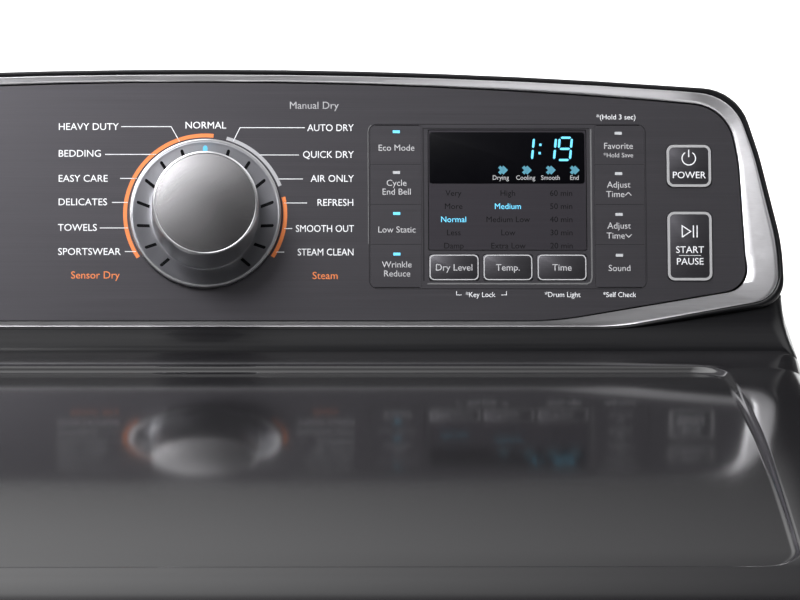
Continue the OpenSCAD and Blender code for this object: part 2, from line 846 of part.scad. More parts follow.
module door_frame() {
    color(silver) difference() {
        union() {
            difference() {
                door_plate(door_size, door_corner, door_front_y, door_back_y);
                door_plate(door_size - 2 * door_wall, door_corner - door_wall, door_front_y + door_wall,
                           door_back_y + 1);
            }
            door_plate(window_size + 8, window_corner + 4, door_front_y + 2, door_front_y + 11);
            intersection() {
                pull_pocket(2);
                door_plate(door_size - 2, door_corner - 1, door_front_y + 1, door_back_y - 5);
            }
        }
        door_plate(window_size + 2 * gap, window_corner, door_front_y - 1, door_front_y + 7.5);
        door_plate(window_size - 24, window_corner - 12, door_front_y, door_front_y + 20);
        pull_pocket(0);
    }
}

// Points of the domed pane's section between two steps out from its middle, as [radius, depth]
function glass_arc(from, to, y0) =
    [for (k = [from:(from < to ? 1 : -1):to]) let (r = 25 * k) [r, y0 + r * r / 2 / glass_r]];

module door_glass() {
    color([0.05, 0.05, 0.06, 0.8]) {
        intersection() {
            door_plate(window_size, window_corner, -reach_y - 5, door_front_y + 20);
            turned_y(0, door_z)
                polygon(concat(glass_arc(0, 12, -reach_y), glass_arc(12, 0, glass_t - reach_y)));
        }
        rod_y(0, door_z, plug_r - 35 - gap, plug_y - 5, plug_y - 1);
    }
}

module door_liner() {
    color(dark) difference() {
        union() {
            door_plate(door_size - 2 * door_wall - 2 * gap, door_corner - door_wall, door_back_y - 3,
                       door_back_y);
            rod_y(0, door_z, plug_r, door_back_y - 1, plug_y);
        }
        rod_y(0, door_z, plug_r - 3, door_back_y - 5, plug_y - 2);
        rod_y(0, door_z, plug_r - 35, plug_y - 10, plug_y + 5);
    }
}

module door_gasket() {
    color(dark) turned_y(0, door_z) polygon([
        [212, door_back_y], [222, door_back_y], [221, front_y - gap - 1], [219, front_y - gap],
        [215, front_y - gap], [213, front_y - gap - 1]
    ]);
}

module door_hinge_arms() {
    color(zinc) for (z = hinge_zs) difference() {
        union() {
            translate([hinge_x, hinge_y, z - hinge_half]) cylinder(r = hinge_knuckle_r, h = 2 * hinge_half);
            block(door_size / 2, hinge_y - 14, z - hinge_half,
                  door_size / 2 + 4, hinge_y + 12, z + hinge_half);
        }
        translate([hinge_x, hinge_y, z - 20]) cylinder(r = hinge_pin_r + running, h = 40);
    }
}

module door_hinge_brackets() {
    color(dark) for (z = hinge_zs) {
        block(262, front_y - 3, z - 30, 292, front_y, z + 30);
        for (s = [-1, 1]) {
            translate([hinge_x, hinge_y, z + s * bracket_z - bracket_lug])
                cylinder(r = bracket_lug + 0.5, h = 2 * bracket_lug);
            block(hinge_x - bracket_lug, hinge_y, z + s * bracket_z - bracket_lug,
                  hinge_x + bracket_lug, front_y - 1, z + s * bracket_z + bracket_lug);
        }
        translate([hinge_x, hinge_y, z - 20]) cylinder(r = hinge_pin_r, h = 40);
    }
}

module door_strike() {
    color(zinc) {
        block(strike_x - 3, door_back_y, door_z - 10, strike_x + 3, front_y + 16, door_z + 10);
        block(strike_x - 8, door_back_y, door_z - 16, strike_x + 8, door_back_y + 1.5, door_z + 16);
    }
}

module door_catch() {
    color(dark) difference() {
        block(strike_x - 18, front_y + skin, door_z - 26, strike_x + 16, front_y + 28, door_z + 26);
        block(strike_x - 12, front_y, door_z - 17, strike_x + 10, front_y + 22, door_z + 17);
    }
}

console_housing();
console_trim();
console_fascia();
dial_bezel();
dial_lamps();
dial_knob();
dial_encoder();
display_lens();
control_board();
outlined_key(power_box);  // power_key
outlined_key(start_box);  // start_pause_key
option_key(0);  // dry_level_key
option_key(1);  // temperature_key
option_key(2);  // time_key
column_key(left_col, 3);  // eco_key
column_key(left_col, 2);  // bell_key
column_key(left_col, 1);  // static_key
column_key(left_col, 0);  // wrinkle_key
column_key(right_col, 3);  // favourite_key
column_key(right_col, 2);  // time_up_key
column_key(right_col, 1);  // time_down_key
column_key(right_col, 0);  // sound_key
top_panel();
side_panel_left();
side_panel_right();
rear_panel();
front_panel();
base_pan();
foot(-foot_x, foot_front_y);  // foot_front_left
foot(foot_x, foot_front_y);  // foot_front_right
foot(-foot_x, foot_rear_y);  // foot_rear_left
foot(foot_x, foot_rear_y);  // foot_rear_right
drum_shell();
drum_baffles();
front_bulkhead();
rear_bulkhead();
drum_seals();
drum_roller(-1);  // drum_roller_left
drum_roller(1);  // drum_roller_right
drum_belt();
drive_motor();
motor_pulley();
blower_wheel();
blower_housing();
idler_arm();
idler_pulley();
heater_box();
heater_coil();
exhaust_duct();
lint_duct();
lint_filter();
steam_valve();
door_frame();
door_glass();
door_liner();
door_gasket();
door_hinge_arms();
door_hinge_brackets();
door_strike();
door_catch();
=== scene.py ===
import json
import math
import bpy
import bmesh
from mathutils import Matrix, Vector


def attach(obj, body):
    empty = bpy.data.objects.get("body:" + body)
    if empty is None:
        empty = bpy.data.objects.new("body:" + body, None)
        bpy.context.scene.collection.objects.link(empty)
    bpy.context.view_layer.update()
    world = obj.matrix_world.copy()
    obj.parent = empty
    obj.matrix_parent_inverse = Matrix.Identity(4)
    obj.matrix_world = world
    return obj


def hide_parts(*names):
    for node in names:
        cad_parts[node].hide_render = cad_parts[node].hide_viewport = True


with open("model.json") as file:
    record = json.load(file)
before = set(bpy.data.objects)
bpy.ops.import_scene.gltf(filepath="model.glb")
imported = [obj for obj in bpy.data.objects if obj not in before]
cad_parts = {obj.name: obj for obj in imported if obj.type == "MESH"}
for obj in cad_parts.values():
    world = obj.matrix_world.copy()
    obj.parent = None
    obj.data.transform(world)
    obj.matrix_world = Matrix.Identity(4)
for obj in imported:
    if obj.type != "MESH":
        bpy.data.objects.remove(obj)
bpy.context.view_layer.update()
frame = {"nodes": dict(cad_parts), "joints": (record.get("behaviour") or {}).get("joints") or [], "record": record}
MM = 0.001
CAD = frame["nodes"]

# ---------- Sizes in millimetres, as the CAD has them ----------

SIDE_X, FRONT_Y, REAR_Y = 350.0, -300.0, 350.0
SEAM_Z, DECK_Y, DECK_Z = 938.0, 140.0, 1004.0
CROWN_Z, CROWN_R, CROWN_Y = 1006.5, 1700.0, -16.0
NOSE_R, ROLL_R = 36.0, 14.0
RECESS_FRONT, RECESS_REAR, RECESS_DEPTH = -260.0, 106.0, 3.0
FACE_HW, FACE_H, FACE_DROP, DIAL_V = 341.0, 155.0, 2.6, 68.0
HOUSING_REAR = 342.0
PAN_Z = 30.0
DOOR_Z, DOOR_SIZE, DOOR_CORNER = 600.0, 520.0, 70.0
DOOR_FRONT, DOOR_BACK = -363.0, -304.0
WINDOW_SIZE, WINDOW_CORNER = 424.0, 100.0
LAMPS, LAMP_PITCH = 15, 20.0
KEY_ROWS = [24.2, 49.8, 73.8, 97.8, 121.2]
LEFT_COL, RIGHT_COL = (97.2, 127.2), (229.4, 258.8)
OPTION_ROW = (28.2, 43.8)
OPTION_COLS = [(131.6, 160.8), (163.4, 192.4), (195.2, 224.2)]
POWER_BOX, START_BOX = (271.9, 84.1, 298.3, 109.6), (271.9, 28.0, 298.3, 69.4)
LENS_BOX = (131.4, 46.4, 224.4, 118.4)
KEY_GAP = 0.3

# ---------- The console face: right, up the slope, outward ----------

dial_joint = next(j for j in frame["joints"] if j["name"] == "dial_turn")
OUT = Vector(dial_joint["axis"]).normalized()
RIGHT = Vector((1, 0, 0))
UP = OUT.cross(RIGHT)
FACE_ZERO = Vector(dial_joint["pos_m"]) / MM - UP * DIAL_V


def on_face(u, v, w=0.0):
    """A point u right, v up the slope and w out from the console face's lower middle, in millimetres."""
    return FACE_ZERO + RIGHT * u + UP * v + OUT * w


# ---------- Materials ----------

RELIEF_DEPTH = 0.2 * MM


def finish(name, color, metallic=0.0, rough=0.4, coat=0.0, coat_rough=0.05, grain=(300, 300, 300),
           mottle=0.06, spread=0.06, bump=0.0, glow=0.0, specular=0.5, detail=3.0):
    """A surface whose colour, roughness and relief vary with a fine procedural noise."""
    made = bpy.data.materials.new(name)
    made.use_nodes = True
    tree = made.node_tree
    shader = tree.nodes["Principled BSDF"]
    shader.inputs["Metallic"].default_value = metallic
    shader.inputs["Coat Weight"].default_value = coat
    shader.inputs["Coat Roughness"].default_value = coat_rough
    shader.inputs["Specular IOR Level"].default_value = specular
    coords = tree.nodes.new("ShaderNodeTexCoord")
    mapping = tree.nodes.new("ShaderNodeMapping")
    mapping.inputs["Scale"].default_value = grain
    noise = tree.nodes.new("ShaderNodeTexNoise")
    noise.inputs["Scale"].default_value = 1.0
    noise.inputs["Detail"].default_value = detail
    tree.links.new(coords.outputs["Object"], mapping.inputs["Vector"])
    tree.links.new(mapping.outputs["Vector"], noise.inputs["Vector"])
    tint = tree.nodes.new("ShaderNodeMix")
    tint.data_type = "RGBA"
    tint.inputs["A"].default_value = [c * (1 - mottle) for c in color] + [1]
    tint.inputs["B"].default_value = [min(1.0, c * (1 + mottle)) for c in color] + [1]
    tree.links.new(noise.outputs["Fac"], tint.inputs["Factor"])
    tree.links.new(tint.outputs["Result"], shader.inputs["Base Color"])
    span = tree.nodes.new("ShaderNodeMapRange")
    span.inputs["To Min"].default_value = max(0.02, rough - spread)
    span.inputs["To Max"].default_value = min(1.0, rough + spread)
    tree.links.new(noise.outputs["Fac"], span.inputs["Value"])
    tree.links.new(span.outputs["Result"], shader.inputs["Roughness"])
    if bump:
        relief = tree.nodes.new("ShaderNodeBump")
        relief.inputs["Strength"].default_value = bump
        relief.inputs["Distance"].default_value = RELIEF_DEPTH
        tree.links.new(noise.outputs["Fac"], relief.inputs["Height"])
        tree.links.new(relief.outputs["Normal"], shader.inputs["Normal"])
    if glow:
        shader.inputs["Emission Color"].default_value = list(color) + [1]
        shader.inputs["Emission Strength"].default_value = glow
    return made


def ink(name, color, glow=0.0, rough=0.5, mottle=0.03, specular=0.5):
    """Printed ink or lamp plastic, nearly even in colour; glow on a lamp is its own light, glow on print is
    painted light.
    """
    return finish(name, color, 0.0, rough, grain=(150, 150, 150), mottle=mottle, spread=0.05, glow=glow,
                  specular=specular)


# Grains are noise scales along X, Y and Z; a small first value draws the grain out sideways
BRUSH = (9, 2600, 2600)
FINE = (900, 900, 900)
PLAIN = (200, 200, 200)
GRAPHITE = finish("graphite_paint", (0.009, 0.0087, 0.0098), 0.06, 0.36, coat=0.8, coat_rough=0.11,
                  grain=FINE, mottle=0.25, spread=0.08, specular=0.0)
HOUSING = finish("housing_gloss", (0.007, 0.007, 0.008), 0.0, 0.3, coat=0.05, grain=(14, 900, 900),
                 mottle=0.3, spread=0.05, specular=0.12)
SILVER = finish("satin_silver", (0.80, 0.79, 0.82), 1.0, 0.34, grain=(30, 1500, 1500), mottle=0.05)
DOOR_SILVER = finish("door_silver", (0.30, 0.295, 0.305), 0.9, 0.34, coat=0.2, grain=(30, 900, 900),
                     spread=0.05)
# Dull dark grey, painted as the shade in grooves and in the gaps between keys
GROOVE_SHADE = finish("painted_groove_shade", (0.022, 0.021, 0.024), 0.0, 0.7, grain=PLAIN, mottle=0.1, spread=0.1,
                specular=0.1)
# Light grey, painted as the highlights along lit edges
GLINT = finish("edge_light", (0.13, 0.13, 0.135), 0.0, 0.5, grain=PLAIN, mottle=0.1, spread=0.1)
CAP = finish("knob_cap_metal", (0.55, 0.54, 0.56), 1.0, 0.24, grain=(40, 40, 40), mottle=0.02, spread=0.02)
CHROME = finish("polished_silver", (0.54, 0.54, 0.56), 1.0, 0.33, grain=(30, 30, 30), mottle=0.03,
                spread=0.02)
FASCIA = finish("brushed_fascia", (0.093, 0.089, 0.100), 0.85, 0.36, grain=BRUSH, mottle=0.14, bump=0.05)
PANEL = finish("brushed_keypad", (0.086, 0.083, 0.093), 0.85, 0.36, grain=BRUSH, mottle=0.14, bump=0.05)
WINDOW = finish("smoked_window", (0.064, 0.059, 0.070), 0.85, 0.38, grain=BRUSH, mottle=0.1)
BLACK = finish("display_black", (0.002, 0.002, 0.003), 0.0, 0.35, grain=PLAIN, mottle=0.1, spread=0.05,
               specular=0.05)
# Near-black and dull: the unlit lamps' dark plastic with painted shade of their slots
SHADOW = finish("lamp_slot_shade_black", (0.006, 0.006, 0.007), 0.0, 0.7, grain=PLAIN, mottle=0.1, spread=0.1,
                specular=0.1)
# The print, the orange marks and the silver key rims glow faintly: painted light that brightens them. The lamps'
# glow is their own light.
INK = ink("legend_white", (0.74, 0.75, 0.78), 0.12)
INK_SOFT = ink("legend_soft", (0.44, 0.44, 0.46), 0.1)
INK_GREY = ink("legend_grey", (0.36, 0.36, 0.38), 0.06)
INK_DARK = ink("legend_dark", (0.006, 0.006, 0.007), specular=0.1)
RIM = ink("key_rim_silver", (0.34, 0.34, 0.35), 0.05, rough=0.45, mottle=0.05)
ORANGE = ink("legend_orange", (0.68, 0.19, 0.05), 0.12, mottle=0.04)
CYAN = ink("lamp_cyan", (0.12, 0.50, 0.72), 0.75, rough=0.4)
CYAN_DIM = ink("lamp_cyan_dim", (0.06, 0.20, 0.27), 0.6, rough=0.4)
WHITE_LAMP = ink("lamp_white", (0.42, 0.43, 0.45), 0.2, rough=0.4)

SLOT_FINISH = {
    "graphite_paint": GRAPHITE, "housing_plastic": HOUSING, "satin_silver": SILVER, "brushed_fascia": FASCIA,
    "key_plastic": PANEL, "display_black": BLACK,
    "lamp_plastic": finish("lamp_plastic", (0.02, 0.02, 0.022), 0, 0.3),
    "black_plastic": finish("moulded_black", (0.022, 0.022, 0.024), 0, 0.5, bump=0.3, grain=FINE),
    "circuit_board": finish("circuit_board", (0.015, 0.11, 0.045), 0, 0.4, grain=(240, 240, 240), mottle=0.3),
    "zinc_steel": finish("zinc_steel", (0.46, 0.48, 0.50), 0.9, 0.38, grain=(60, 60, 60), mottle=0.12,
                         detail=6),
    "dark_steel": finish("dark_steel", (0.09, 0.09, 0.10), 0.7, 0.42, grain=PLAIN),
    "drum_enamel": finish("drum_enamel", (0.72, 0.73, 0.74), 0, 0.3, 0.3, 0.04, grain=(500, 500, 500),
                          mottle=0.04),
    "white_plastic": finish("white_plastic", (0.70, 0.70, 0.67), 0, 0.45, grain=(400, 400, 400)),
    "felt": finish("felt", (0.40, 0.36, 0.29), 0, 0.95, grain=(1500, 1500, 1500), mottle=0.3, bump=0.8),
    "black_rubber": finish("black_rubber", (0.018, 0.018, 0.019), 0, 0.75, grain=(700, 700, 700), bump=0.3),
    "pulley_plastic": finish("pulley_plastic", (0.30, 0.31, 0.32), 0, 0.5, grain=(300, 300, 300)),
    "heater_wire": finish("heater_wire", (0.30, 0.17, 0.10), 0.8, 0.5, grain=(120, 120, 120), mottle=0.3),
    "filter_mesh": finish("filter_mesh", (0.45, 0.47, 0.50), 0, 0.6, grain=(1400, 1400, 1400), mottle=0.35),
    "smoked_glass": finish("smoked_glass", (0.006, 0.006, 0.008), 0, 0.05, 0.5, 0.02, grain=(20, 20, 20)),
}

# ---------- Outlines ----------

def rounded(corners, steps=8):
    """Corner points (x, y, radius) joined by straight lines and arcs."""
    points = []
    for i, (x, y, radius) in enumerate(corners):
        if radius <= 0:
            points.append((x, y))
            continue
        here = Vector((x, y))
        before = (Vector(corners[i - 1][:2]) - here).normalized()
        after = (Vector(corners[(i + 1) % len(corners)][:2]) - here).normalized()
        half = before.angle(after) / 2
        centre = here + (before + after).normalized() * (radius / math.sin(half))
        first = here + before * (radius / math.tan(half)) - centre
        turn = math.copysign(math.pi - 2 * half, before.cross(after) * -1)
        for k in range(steps + 1):
            a = turn * k / steps
            points.append((centre.x + first.x * math.cos(a) - first.y * math.sin(a),
                           centre.y + first.x * math.sin(a) + first.y * math.cos(a)))
    return points


def box_outline(x0, y0, x1, y1, radius, steps=6):
    """A rectangle with rounded corners."""
    return rounded([(x0, y0, radius), (x1, y0, radius), (x1, y1, radius), (x0, y1, radius)], steps)


def mirrored(right_corners, half, height, radius, steps=12):
    """The right corners, an arched top edge, and the same corners on the left."""
    stations = [half - 2 * half * k / steps for k in range(steps + 1)]
    arch = [(u, height - u ** 2 / 2 / radius, 0) for u in stations]
    left = [(-x, y, r) for x, y, r in reversed(right_corners)]
    return rounded(right_corners + arch + left)


def console_outline(g):
    """The housing's front outline, moved inward by g."""
    w, h, low = FACE_HW - g, FACE_H - g, g - FACE_DROP
    return mirrored([(243, low, 150), (w, 17 + low, 17), (w - 1.5, 50, 120), (w - 14, 103, 150),
                     (w - 26.5, h - 12.3, 30)], 278, h, 3900)


def fascia_outline(g):
    """The fascia's outline, moved outward by g."""
    w = FACE_HW - 22 + g
    return mirrored([(205, 4.5 - g, 200), (w, 24 - g, 14), (w - 2, 45, 100), (w - 5, 98, 100),
                     (w - 11.5, 132 + g, 26)], 262, FACE_H - 8.2 + g, 3200)


# ---------- Building meshes ----------

MERGE_DIST = 0.002 * MM


class Shape:
    """Vertices in millimetres and faces, gathered before they become one piece."""

    def __init__(self):
        self.verts = []
        self.faces = []

    def ring(self, points):
        """Adds one row of points and returns their numbers."""
        start = len(self.verts)
        self.verts += [Vector(p) for p in points]
        return list(range(start, len(self.verts)))

    def bridge(self, a, b, closed=True):
        """Joins two rows by four-sided faces."""
        count = len(a)
        for i in range(count if closed else count - 1):
            j = (i + 1) % count
            self.faces.append((a[i], a[j], b[j], b[i]))

    def loft(self, rings, closed=True, cap_first=False, cap_last=False):
        """Skins a list of rows, with the first and last closed by a face if asked."""
        made = [self.ring(r) for r in rings]
        for a, b in zip(made, made[1:]):
            self.bridge(a, b, closed)
        if cap_first:
            self.faces.append(tuple(reversed(made[0])))
        if cap_last:
            self.faces.append(tuple(made[-1]))

    def add(self, points, faces):
        """Takes over finished points and faces."""
        start = len(self.verts)
        self.verts += [Vector(p) for p in points]
        self.faces += [tuple(start + i for i in f) for f in faces]

    def make(self, name, body, slot, material, replaces=(), angle=35.0):
        """Cleans the mesh and sets it up as one piece that rides on a body."""
        mesh = bpy.data.meshes.new(name)
        mesh.from_pydata([tuple(v * MM) for v in self.verts], [], self.faces)
        work = bmesh.new()
        work.from_mesh(mesh)
        bmesh.ops.remove_doubles(work, verts=work.verts, dist=MERGE_DIST)
        bmesh.ops.dissolve_degenerate(work, dist=MERGE_DIST / 2, edges=work.edges)
        bmesh.ops.recalc_face_normals(work, faces=work.faces)
        work.to_mesh(mesh)
        work.free()
        mesh.shade_smooth()
        mesh.set_sharp_from_angle(angle=math.radians(angle))
        mesh.materials.append(material)
        piece = bpy.data.objects.new(name, mesh)
        bpy.context.scene.collection.objects.link(piece)
        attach(piece, body)
        if replaces:
            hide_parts(*replaces)


def slab(shape, outline, w0, w1, ease=0.0):
    """A closed plate between two heights; ease rounds its upper edge."""
    rings = [(0, w0), (0, w1 - ease)]
    if ease:
        rings += [(ease * 0.3, w1 - ease * 0.3), (ease, w1)]
    shape.loft([[on_face(u, v, w) for u, v in shrink(outline, g)] for g, w in rings], True, True, True)


def shrink(outline, g):
    """The outline moved inward by g along its corner normals."""
    if not g:
        return outline
    moved = []
    count = len(outline)
    for i in range(count):
        a, b, c = (Vector(outline[(i + k) % count]) for k in (-1, 0, 1))
        e1, e2 = (b - a), (c - b)
        if e1.length < 1e-6 or e2.length < 1e-6:
            moved.append(tuple(b))
            continue
        n = (Vector((-e1.y, e1.x)).normalized() + Vector((-e2.y, e2.x)).normalized())
        n.normalize()
        moved.append((b.x + n.x * g, b.y + n.y * g))
    return moved


def plate_with_holes(shape, outer, holes, w0, w1):
    """A flat plate on the face with holes cut through it."""
    curve = bpy.data.curves.new("plate", "CURVE")
    curve.dimensions = "2D"
    curve.fill_mode = "BOTH"
    curve.extrude = (w1 - w0) / 2
    for outline in [outer] + holes:
        spline = curve.splines.new("POLY")
        spline.points.add(len(outline) - 1)
        for point, (u, v) in zip(spline.points, outline):
            point.co = (u, v, 0, 1)
        spline.use_cyclic_u = True
    take_curve(shape, curve, lambda p: on_face(p.x, p.y, p.z + (w0 + w1) / 2))


def take_curve(shape, curve, place):
    """Turns a curve or text into faces of the shape."""
    holder = bpy.data.objects.new("holder", curve)
    bpy.context.scene.collection.objects.link(holder)
    seen = holder.evaluated_get(bpy.context.evaluated_depsgraph_get())
    mesh = seen.to_mesh()
    shape.add([place(v.co) for v in mesh.vertices], [tuple(f.vertices) for f in mesh.polygons])
    seen.to_mesh_clear()
    bpy.data.objects.remove(holder)
    bpy.data.curves.remove(curve)


LETTER_HALF_THICK, LETTER_MIDDLE, LETTER_PROUD = 0.02, 0.34, 0.03


def write(shape, text, u, v, size=5.6, align="CENTER", squeeze=1.0, w=0.0):
    """Letters of the given size, their middle height at v, just proud of the face."""
    curve = bpy.data.curves.new("text", "FONT")
    curve.body = text
    curve.size = size
    curve.align_x = align
    curve.resolution_u = 3
    curve.extrude = LETTER_HALF_THICK
    foot = v - size * LETTER_MIDDLE
    take_curve(shape, curve, lambda p: on_face(u + p.x * squeeze, foot + p.y, w + LETTER_PROUD + p.z))


def ribbon(shape, path, width, w=0.0, closed=False, thick=0.05):
    """A line of the given width printed on the face."""
    count = len(path)
    stations = []
    for i in range(count):
        here = Vector(path[i])
        before = Vector(path[i - 1]) if (closed or i) else here
        after = Vector(path[(i + 1) % count]) if (closed or i < count - 1) else here
        e1 = (here - before).normalized() if (here - before).length > 1e-9 else (after - here).normalized()
        e2 = (after - here).normalized() if (after - here).length > 1e-9 else e1
        n = Vector((-e1.y - e2.y, e1.x + e2.x)).normalized()
        n /= max(0.4, n.dot(Vector((-e1.y, e1.x))))
        side = n * width / 2
        a, b = here + side, here - side
        stations.append([on_face(a.x, a.y, w), on_face(b.x, b.y, w), on_face(b.x, b.y, w + thick),
                         on_face(a.x, a.y, w + thick)])
    rings = [shape.ring(s) for s in stations]
    for a, b in zip(rings, rings[1:] + ([rings[0]] if closed else [])):
        shape.bridge(a, b)
    if not closed:
        shape.faces += [tuple(rings[0]), tuple(reversed(rings[-1]))]


def arc_path(radius, start, end, centre=(0.0, DIAL_V), step=3.0):
    """Points along a circle, with angles clockwise from the top, in degrees."""
    count = max(2, int(abs(end - start) / step) + 1)
    return [(centre[0] + radius * math.sin(math.radians(start + (end - start) * k / count)),
             centre[1] + radius * math.cos(math.radians(start + (end - start) * k / count)))
            for k in range(count + 1)]


DIAL_SIDES = 144


def revolve(shape, profile):
    """Turns a section of (radius, height) about the dial's axis."""
    turns = [2 * math.pi * k / DIAL_SIDES for k in range(DIAL_SIDES)]
    rings = [[on_face(r * math.cos(a), DIAL_V + r * math.sin(a), w) for a in turns] for r, w in profile]
    shape.loft(rings, True, profile[0][0] > 0.01, profile[-1][0] > 0.01)


# ---------- Console housing, trim and fascia ----------

def back_to_rear(point):
    """Follows the console's slope back from a point on the face to the housing's rear."""
    reach = (HOUSING_REAR - point.y) / -OUT.y
    end = point - OUT * reach
    return Vector((end.x, end.y, max(end.z, DECK_Z)))


housing = Shape()

# The rounded front lip: (inset from the outline, height over the face)
LIP = [(3.2, -9.0), (3.2, 0.4), (2.6, 1.2), (1.6, 1.5), (0.7, 1.0), (0.1, -0.2), (0.0, -2.0)]
rings = [[on_face(u, v, w) for u, v in console_outline(g)] for g, w in LIP]
base_ring = rings[-1]
rear_ring = [back_to_rear(p) for p in base_ring]
rear_middle = sum(rear_ring, Vector()) / len(rear_ring)
for part in (0.33, 0.66, 0.97):
    rings.append([a.lerp(b, part) for a, b in zip(base_ring, rear_ring)])
for pull, back in ((0.006, -1.2), (0.016, 0.0)):
    rings.append([p.lerp(rear_middle, pull) + Vector((0, back, 0)) for p in rear_ring])
for ring in rings[len(LIP):]:
    for p in ring:
        p.z = max(p.z, DECK_Z)
housing.loft(rings, True, False, True)


def roll_drop(x):
    """How far the rolled side edge of the top has fallen at this width."""
    over = max(0.0, abs(x) - (SIDE_X - ROLL_R))
    return ROLL_R - math.sqrt(max(0.0, ROLL_R ** 2 - over ** 2))


# Riser between the top and the console face: (half width, front depth, height above the top, corner radius)
RISER = [(347.6, 140.3, 0.1, 5), (346.6, 140.8, 1.0, 6), (345.2, 142.0, 2.4, 7), (343.6, 144.6, 4.6, 8),
         (342.0, 148.2, 8.0, 9), (341.0, 153.0, 12.0, 10), (340.2, 157.0, 18.0, 10), (339.4, 161.0, 26.0, 10)]
RISER_REAR = HOUSING_REAR - 2
rings = []
for half, depth, height, corner in RISER:
    outline = rounded([(-half, depth, corner), (half, depth, corner), (half, RISER_REAR, 3),
                       (-half, RISER_REAR, 3)])
    rings.append([Vector((x, y, DECK_Z - roll_drop(x) + height)) for x, y in outline])
housing.loft(rings, True, False, False)
housing.make("console_shell", "cabinet", "housing_plastic", HOUSING, ["console_housing"], 40)

# The trim's section: (share of the way from its inner to its outer outline, height over the face)
TRIM_SECTION = [(0.0, -6.0), (0.0, 0.0), (0.03, 0.25), (0.3, 0.9), (0.6, 1.65), (0.86, 2.3), (0.91, 2.38),
                (0.96, 2.2), (1.0, 1.4), (1.0, -6.0)]
TRIM_FOOT = 0.2     # height below which the section isn't scaled
FULL_WIDTH = 14.0   # the section reaches its full height where the trim is this wide
BOTTOM_FALL = 0.3   # share of the height by which the bottom run falls outward
BOTTOM_LIFT = 1.0   # height of the bottom run's inner edge
RISE_FROM, RISE_OVER = 4, 36    # where up the face the fall turns into the rise, and over what length
trim = Shape()
inner, outer = fascia_outline(0.9), console_outline(3.3)


def trim_point(a, b, t, w):
    """A point of the section, which rises outward at the top and sides and falls outward at the bottom."""
    upper = min(1.0, max(0.0, (b[1] - RISE_FROM) / RISE_OVER))
    rise = upper * min(1.0, math.dist(a, b) / FULL_WIDTH) - (1 - upper) * BOTTOM_FALL
    height = TRIM_FOOT + (w - TRIM_FOOT) * rise + (1 - upper) * BOTTOM_LIFT if w > TRIM_FOOT else w
    return on_face(a[0] + (b[0] - a[0]) * t, a[1] + (b[1] - a[1]) * t, height)


trim.loft([[trim_point(a, b, t, w) for a, b in zip(inner, outer)] for t, w in TRIM_SECTION])
trim.make("console_trim_ring", "cabinet", "satin_silver", SILVER, ["console_trim"], 50)


def hole_round(box, radius, gap_u=KEY_GAP):
    """The fascia's hole for a box, a small gap larger all round."""
    return box_outline(box[0] - gap_u, box[1] - KEY_GAP, box[2] + gap_u, box[3] + KEY_GAP, radius)


fascia = Shape()
DIAL_HOLE_R, FASCIA_THICK = 43.6, 3.0
holes = [arc_path(DIAL_HOLE_R, 0, 356.25, step=3.75)]
holes += [hole_round(POWER_BOX, 4), hole_round(START_BOX, 4), hole_round(LENS_BOX, 1)]
holes += [hole_round((u0, OPTION_ROW[0], u1, OPTION_ROW[1]), 2) for u0, u1 in OPTION_COLS]
holes += [hole_round((u0, KEY_ROWS[0], u1, KEY_ROWS[-1]), 2, KEY_GAP / 3) for u0, u1 in (LEFT_COL, RIGHT_COL)]
plate_with_holes(fascia, fascia_outline(0), holes, -FASCIA_THICK, 0.0)
fascia.make("fascia_plate", "cabinet", "brushed_fascia", FASCIA, ["console_fascia"], 30)

# ---------- Dial ----------

BOWL_IN, BOWL_OUT = (32.4, -8.2), (41.4, 1.4)
bezel = Shape()
revolve(bezel, [(31.9, -12), (43.1, -12), (43.1, 0.02), (44.5, 0.02), (44.7, 0.4), (44.7, 2.4), (44.5, 3.1),
                (44.0, 3.5), (43.3, 3.6), (42.6, 3.3), (42.2, 2.6), BOWL_OUT, BOWL_IN, (31.9, -8.4)])
bezel.make("dial_ring", "cabinet", "satin_silver", CHROME, ["dial_bezel"], 40)

LAMP_R = (33.2, 40.9)
LAMP_HALF, LIT_HALF = 0.95, 1.35
LAMP_SUNK, LAMP_PROUD = -1.0, 0.12


def bowl_height(r):
    """Height of the dial ring's sloping bowl at a radius."""
    return BOWL_IN[1] + (r - BOWL_IN[0]) * (BOWL_OUT[1] - BOWL_IN[1]) / (BOWL_OUT[0] - BOWL_IN[0])


def lamp_block(shape, number, half):
    """One lamp, a bar with a round outer end, lying on the dial ring's slope."""
    a = math.radians((number - (LAMPS - 1) / 2) * LAMP_PITCH)
    side, out = Vector((math.cos(a), -math.sin(a))), Vector((math.sin(a), math.cos(a)))
    tip = [math.radians(30 * k) for k in range(7)]
    outline = [(-half, LAMP_R[0]), (half, LAMP_R[0])]
    outline += [(half * math.cos(t), LAMP_R[1] - half + half * math.sin(t)) for t in tip]
    places = [(out * r + side * x + Vector((0, DIAL_V)), bowl_height(r)) for x, r in outline]
    rings = [[on_face(p.x, p.y, w + lift) for p, w in places] for lift in (LAMP_SUNK, LAMP_PROUD)]
    shape.loft(rings, True, True, True)


# The unlit lamps are near-black dull bars, their dark plastic darkened further as painted shade in the slots; the
# middle lamp is lit
for lit in (False, True):
    lamps = Shape()
    for number in range(LAMPS):
        if lit == (number == LAMPS // 2):
            lamp_block(lamps, number, LIT_HALF if lit else LAMP_HALF)
    lamps.make("dial_lamp_lit" if lit else "dial_lamps_off", "cabinet", "lamp_plastic",
               CYAN if lit else SHADOW, ["dial_lamps"], 30)

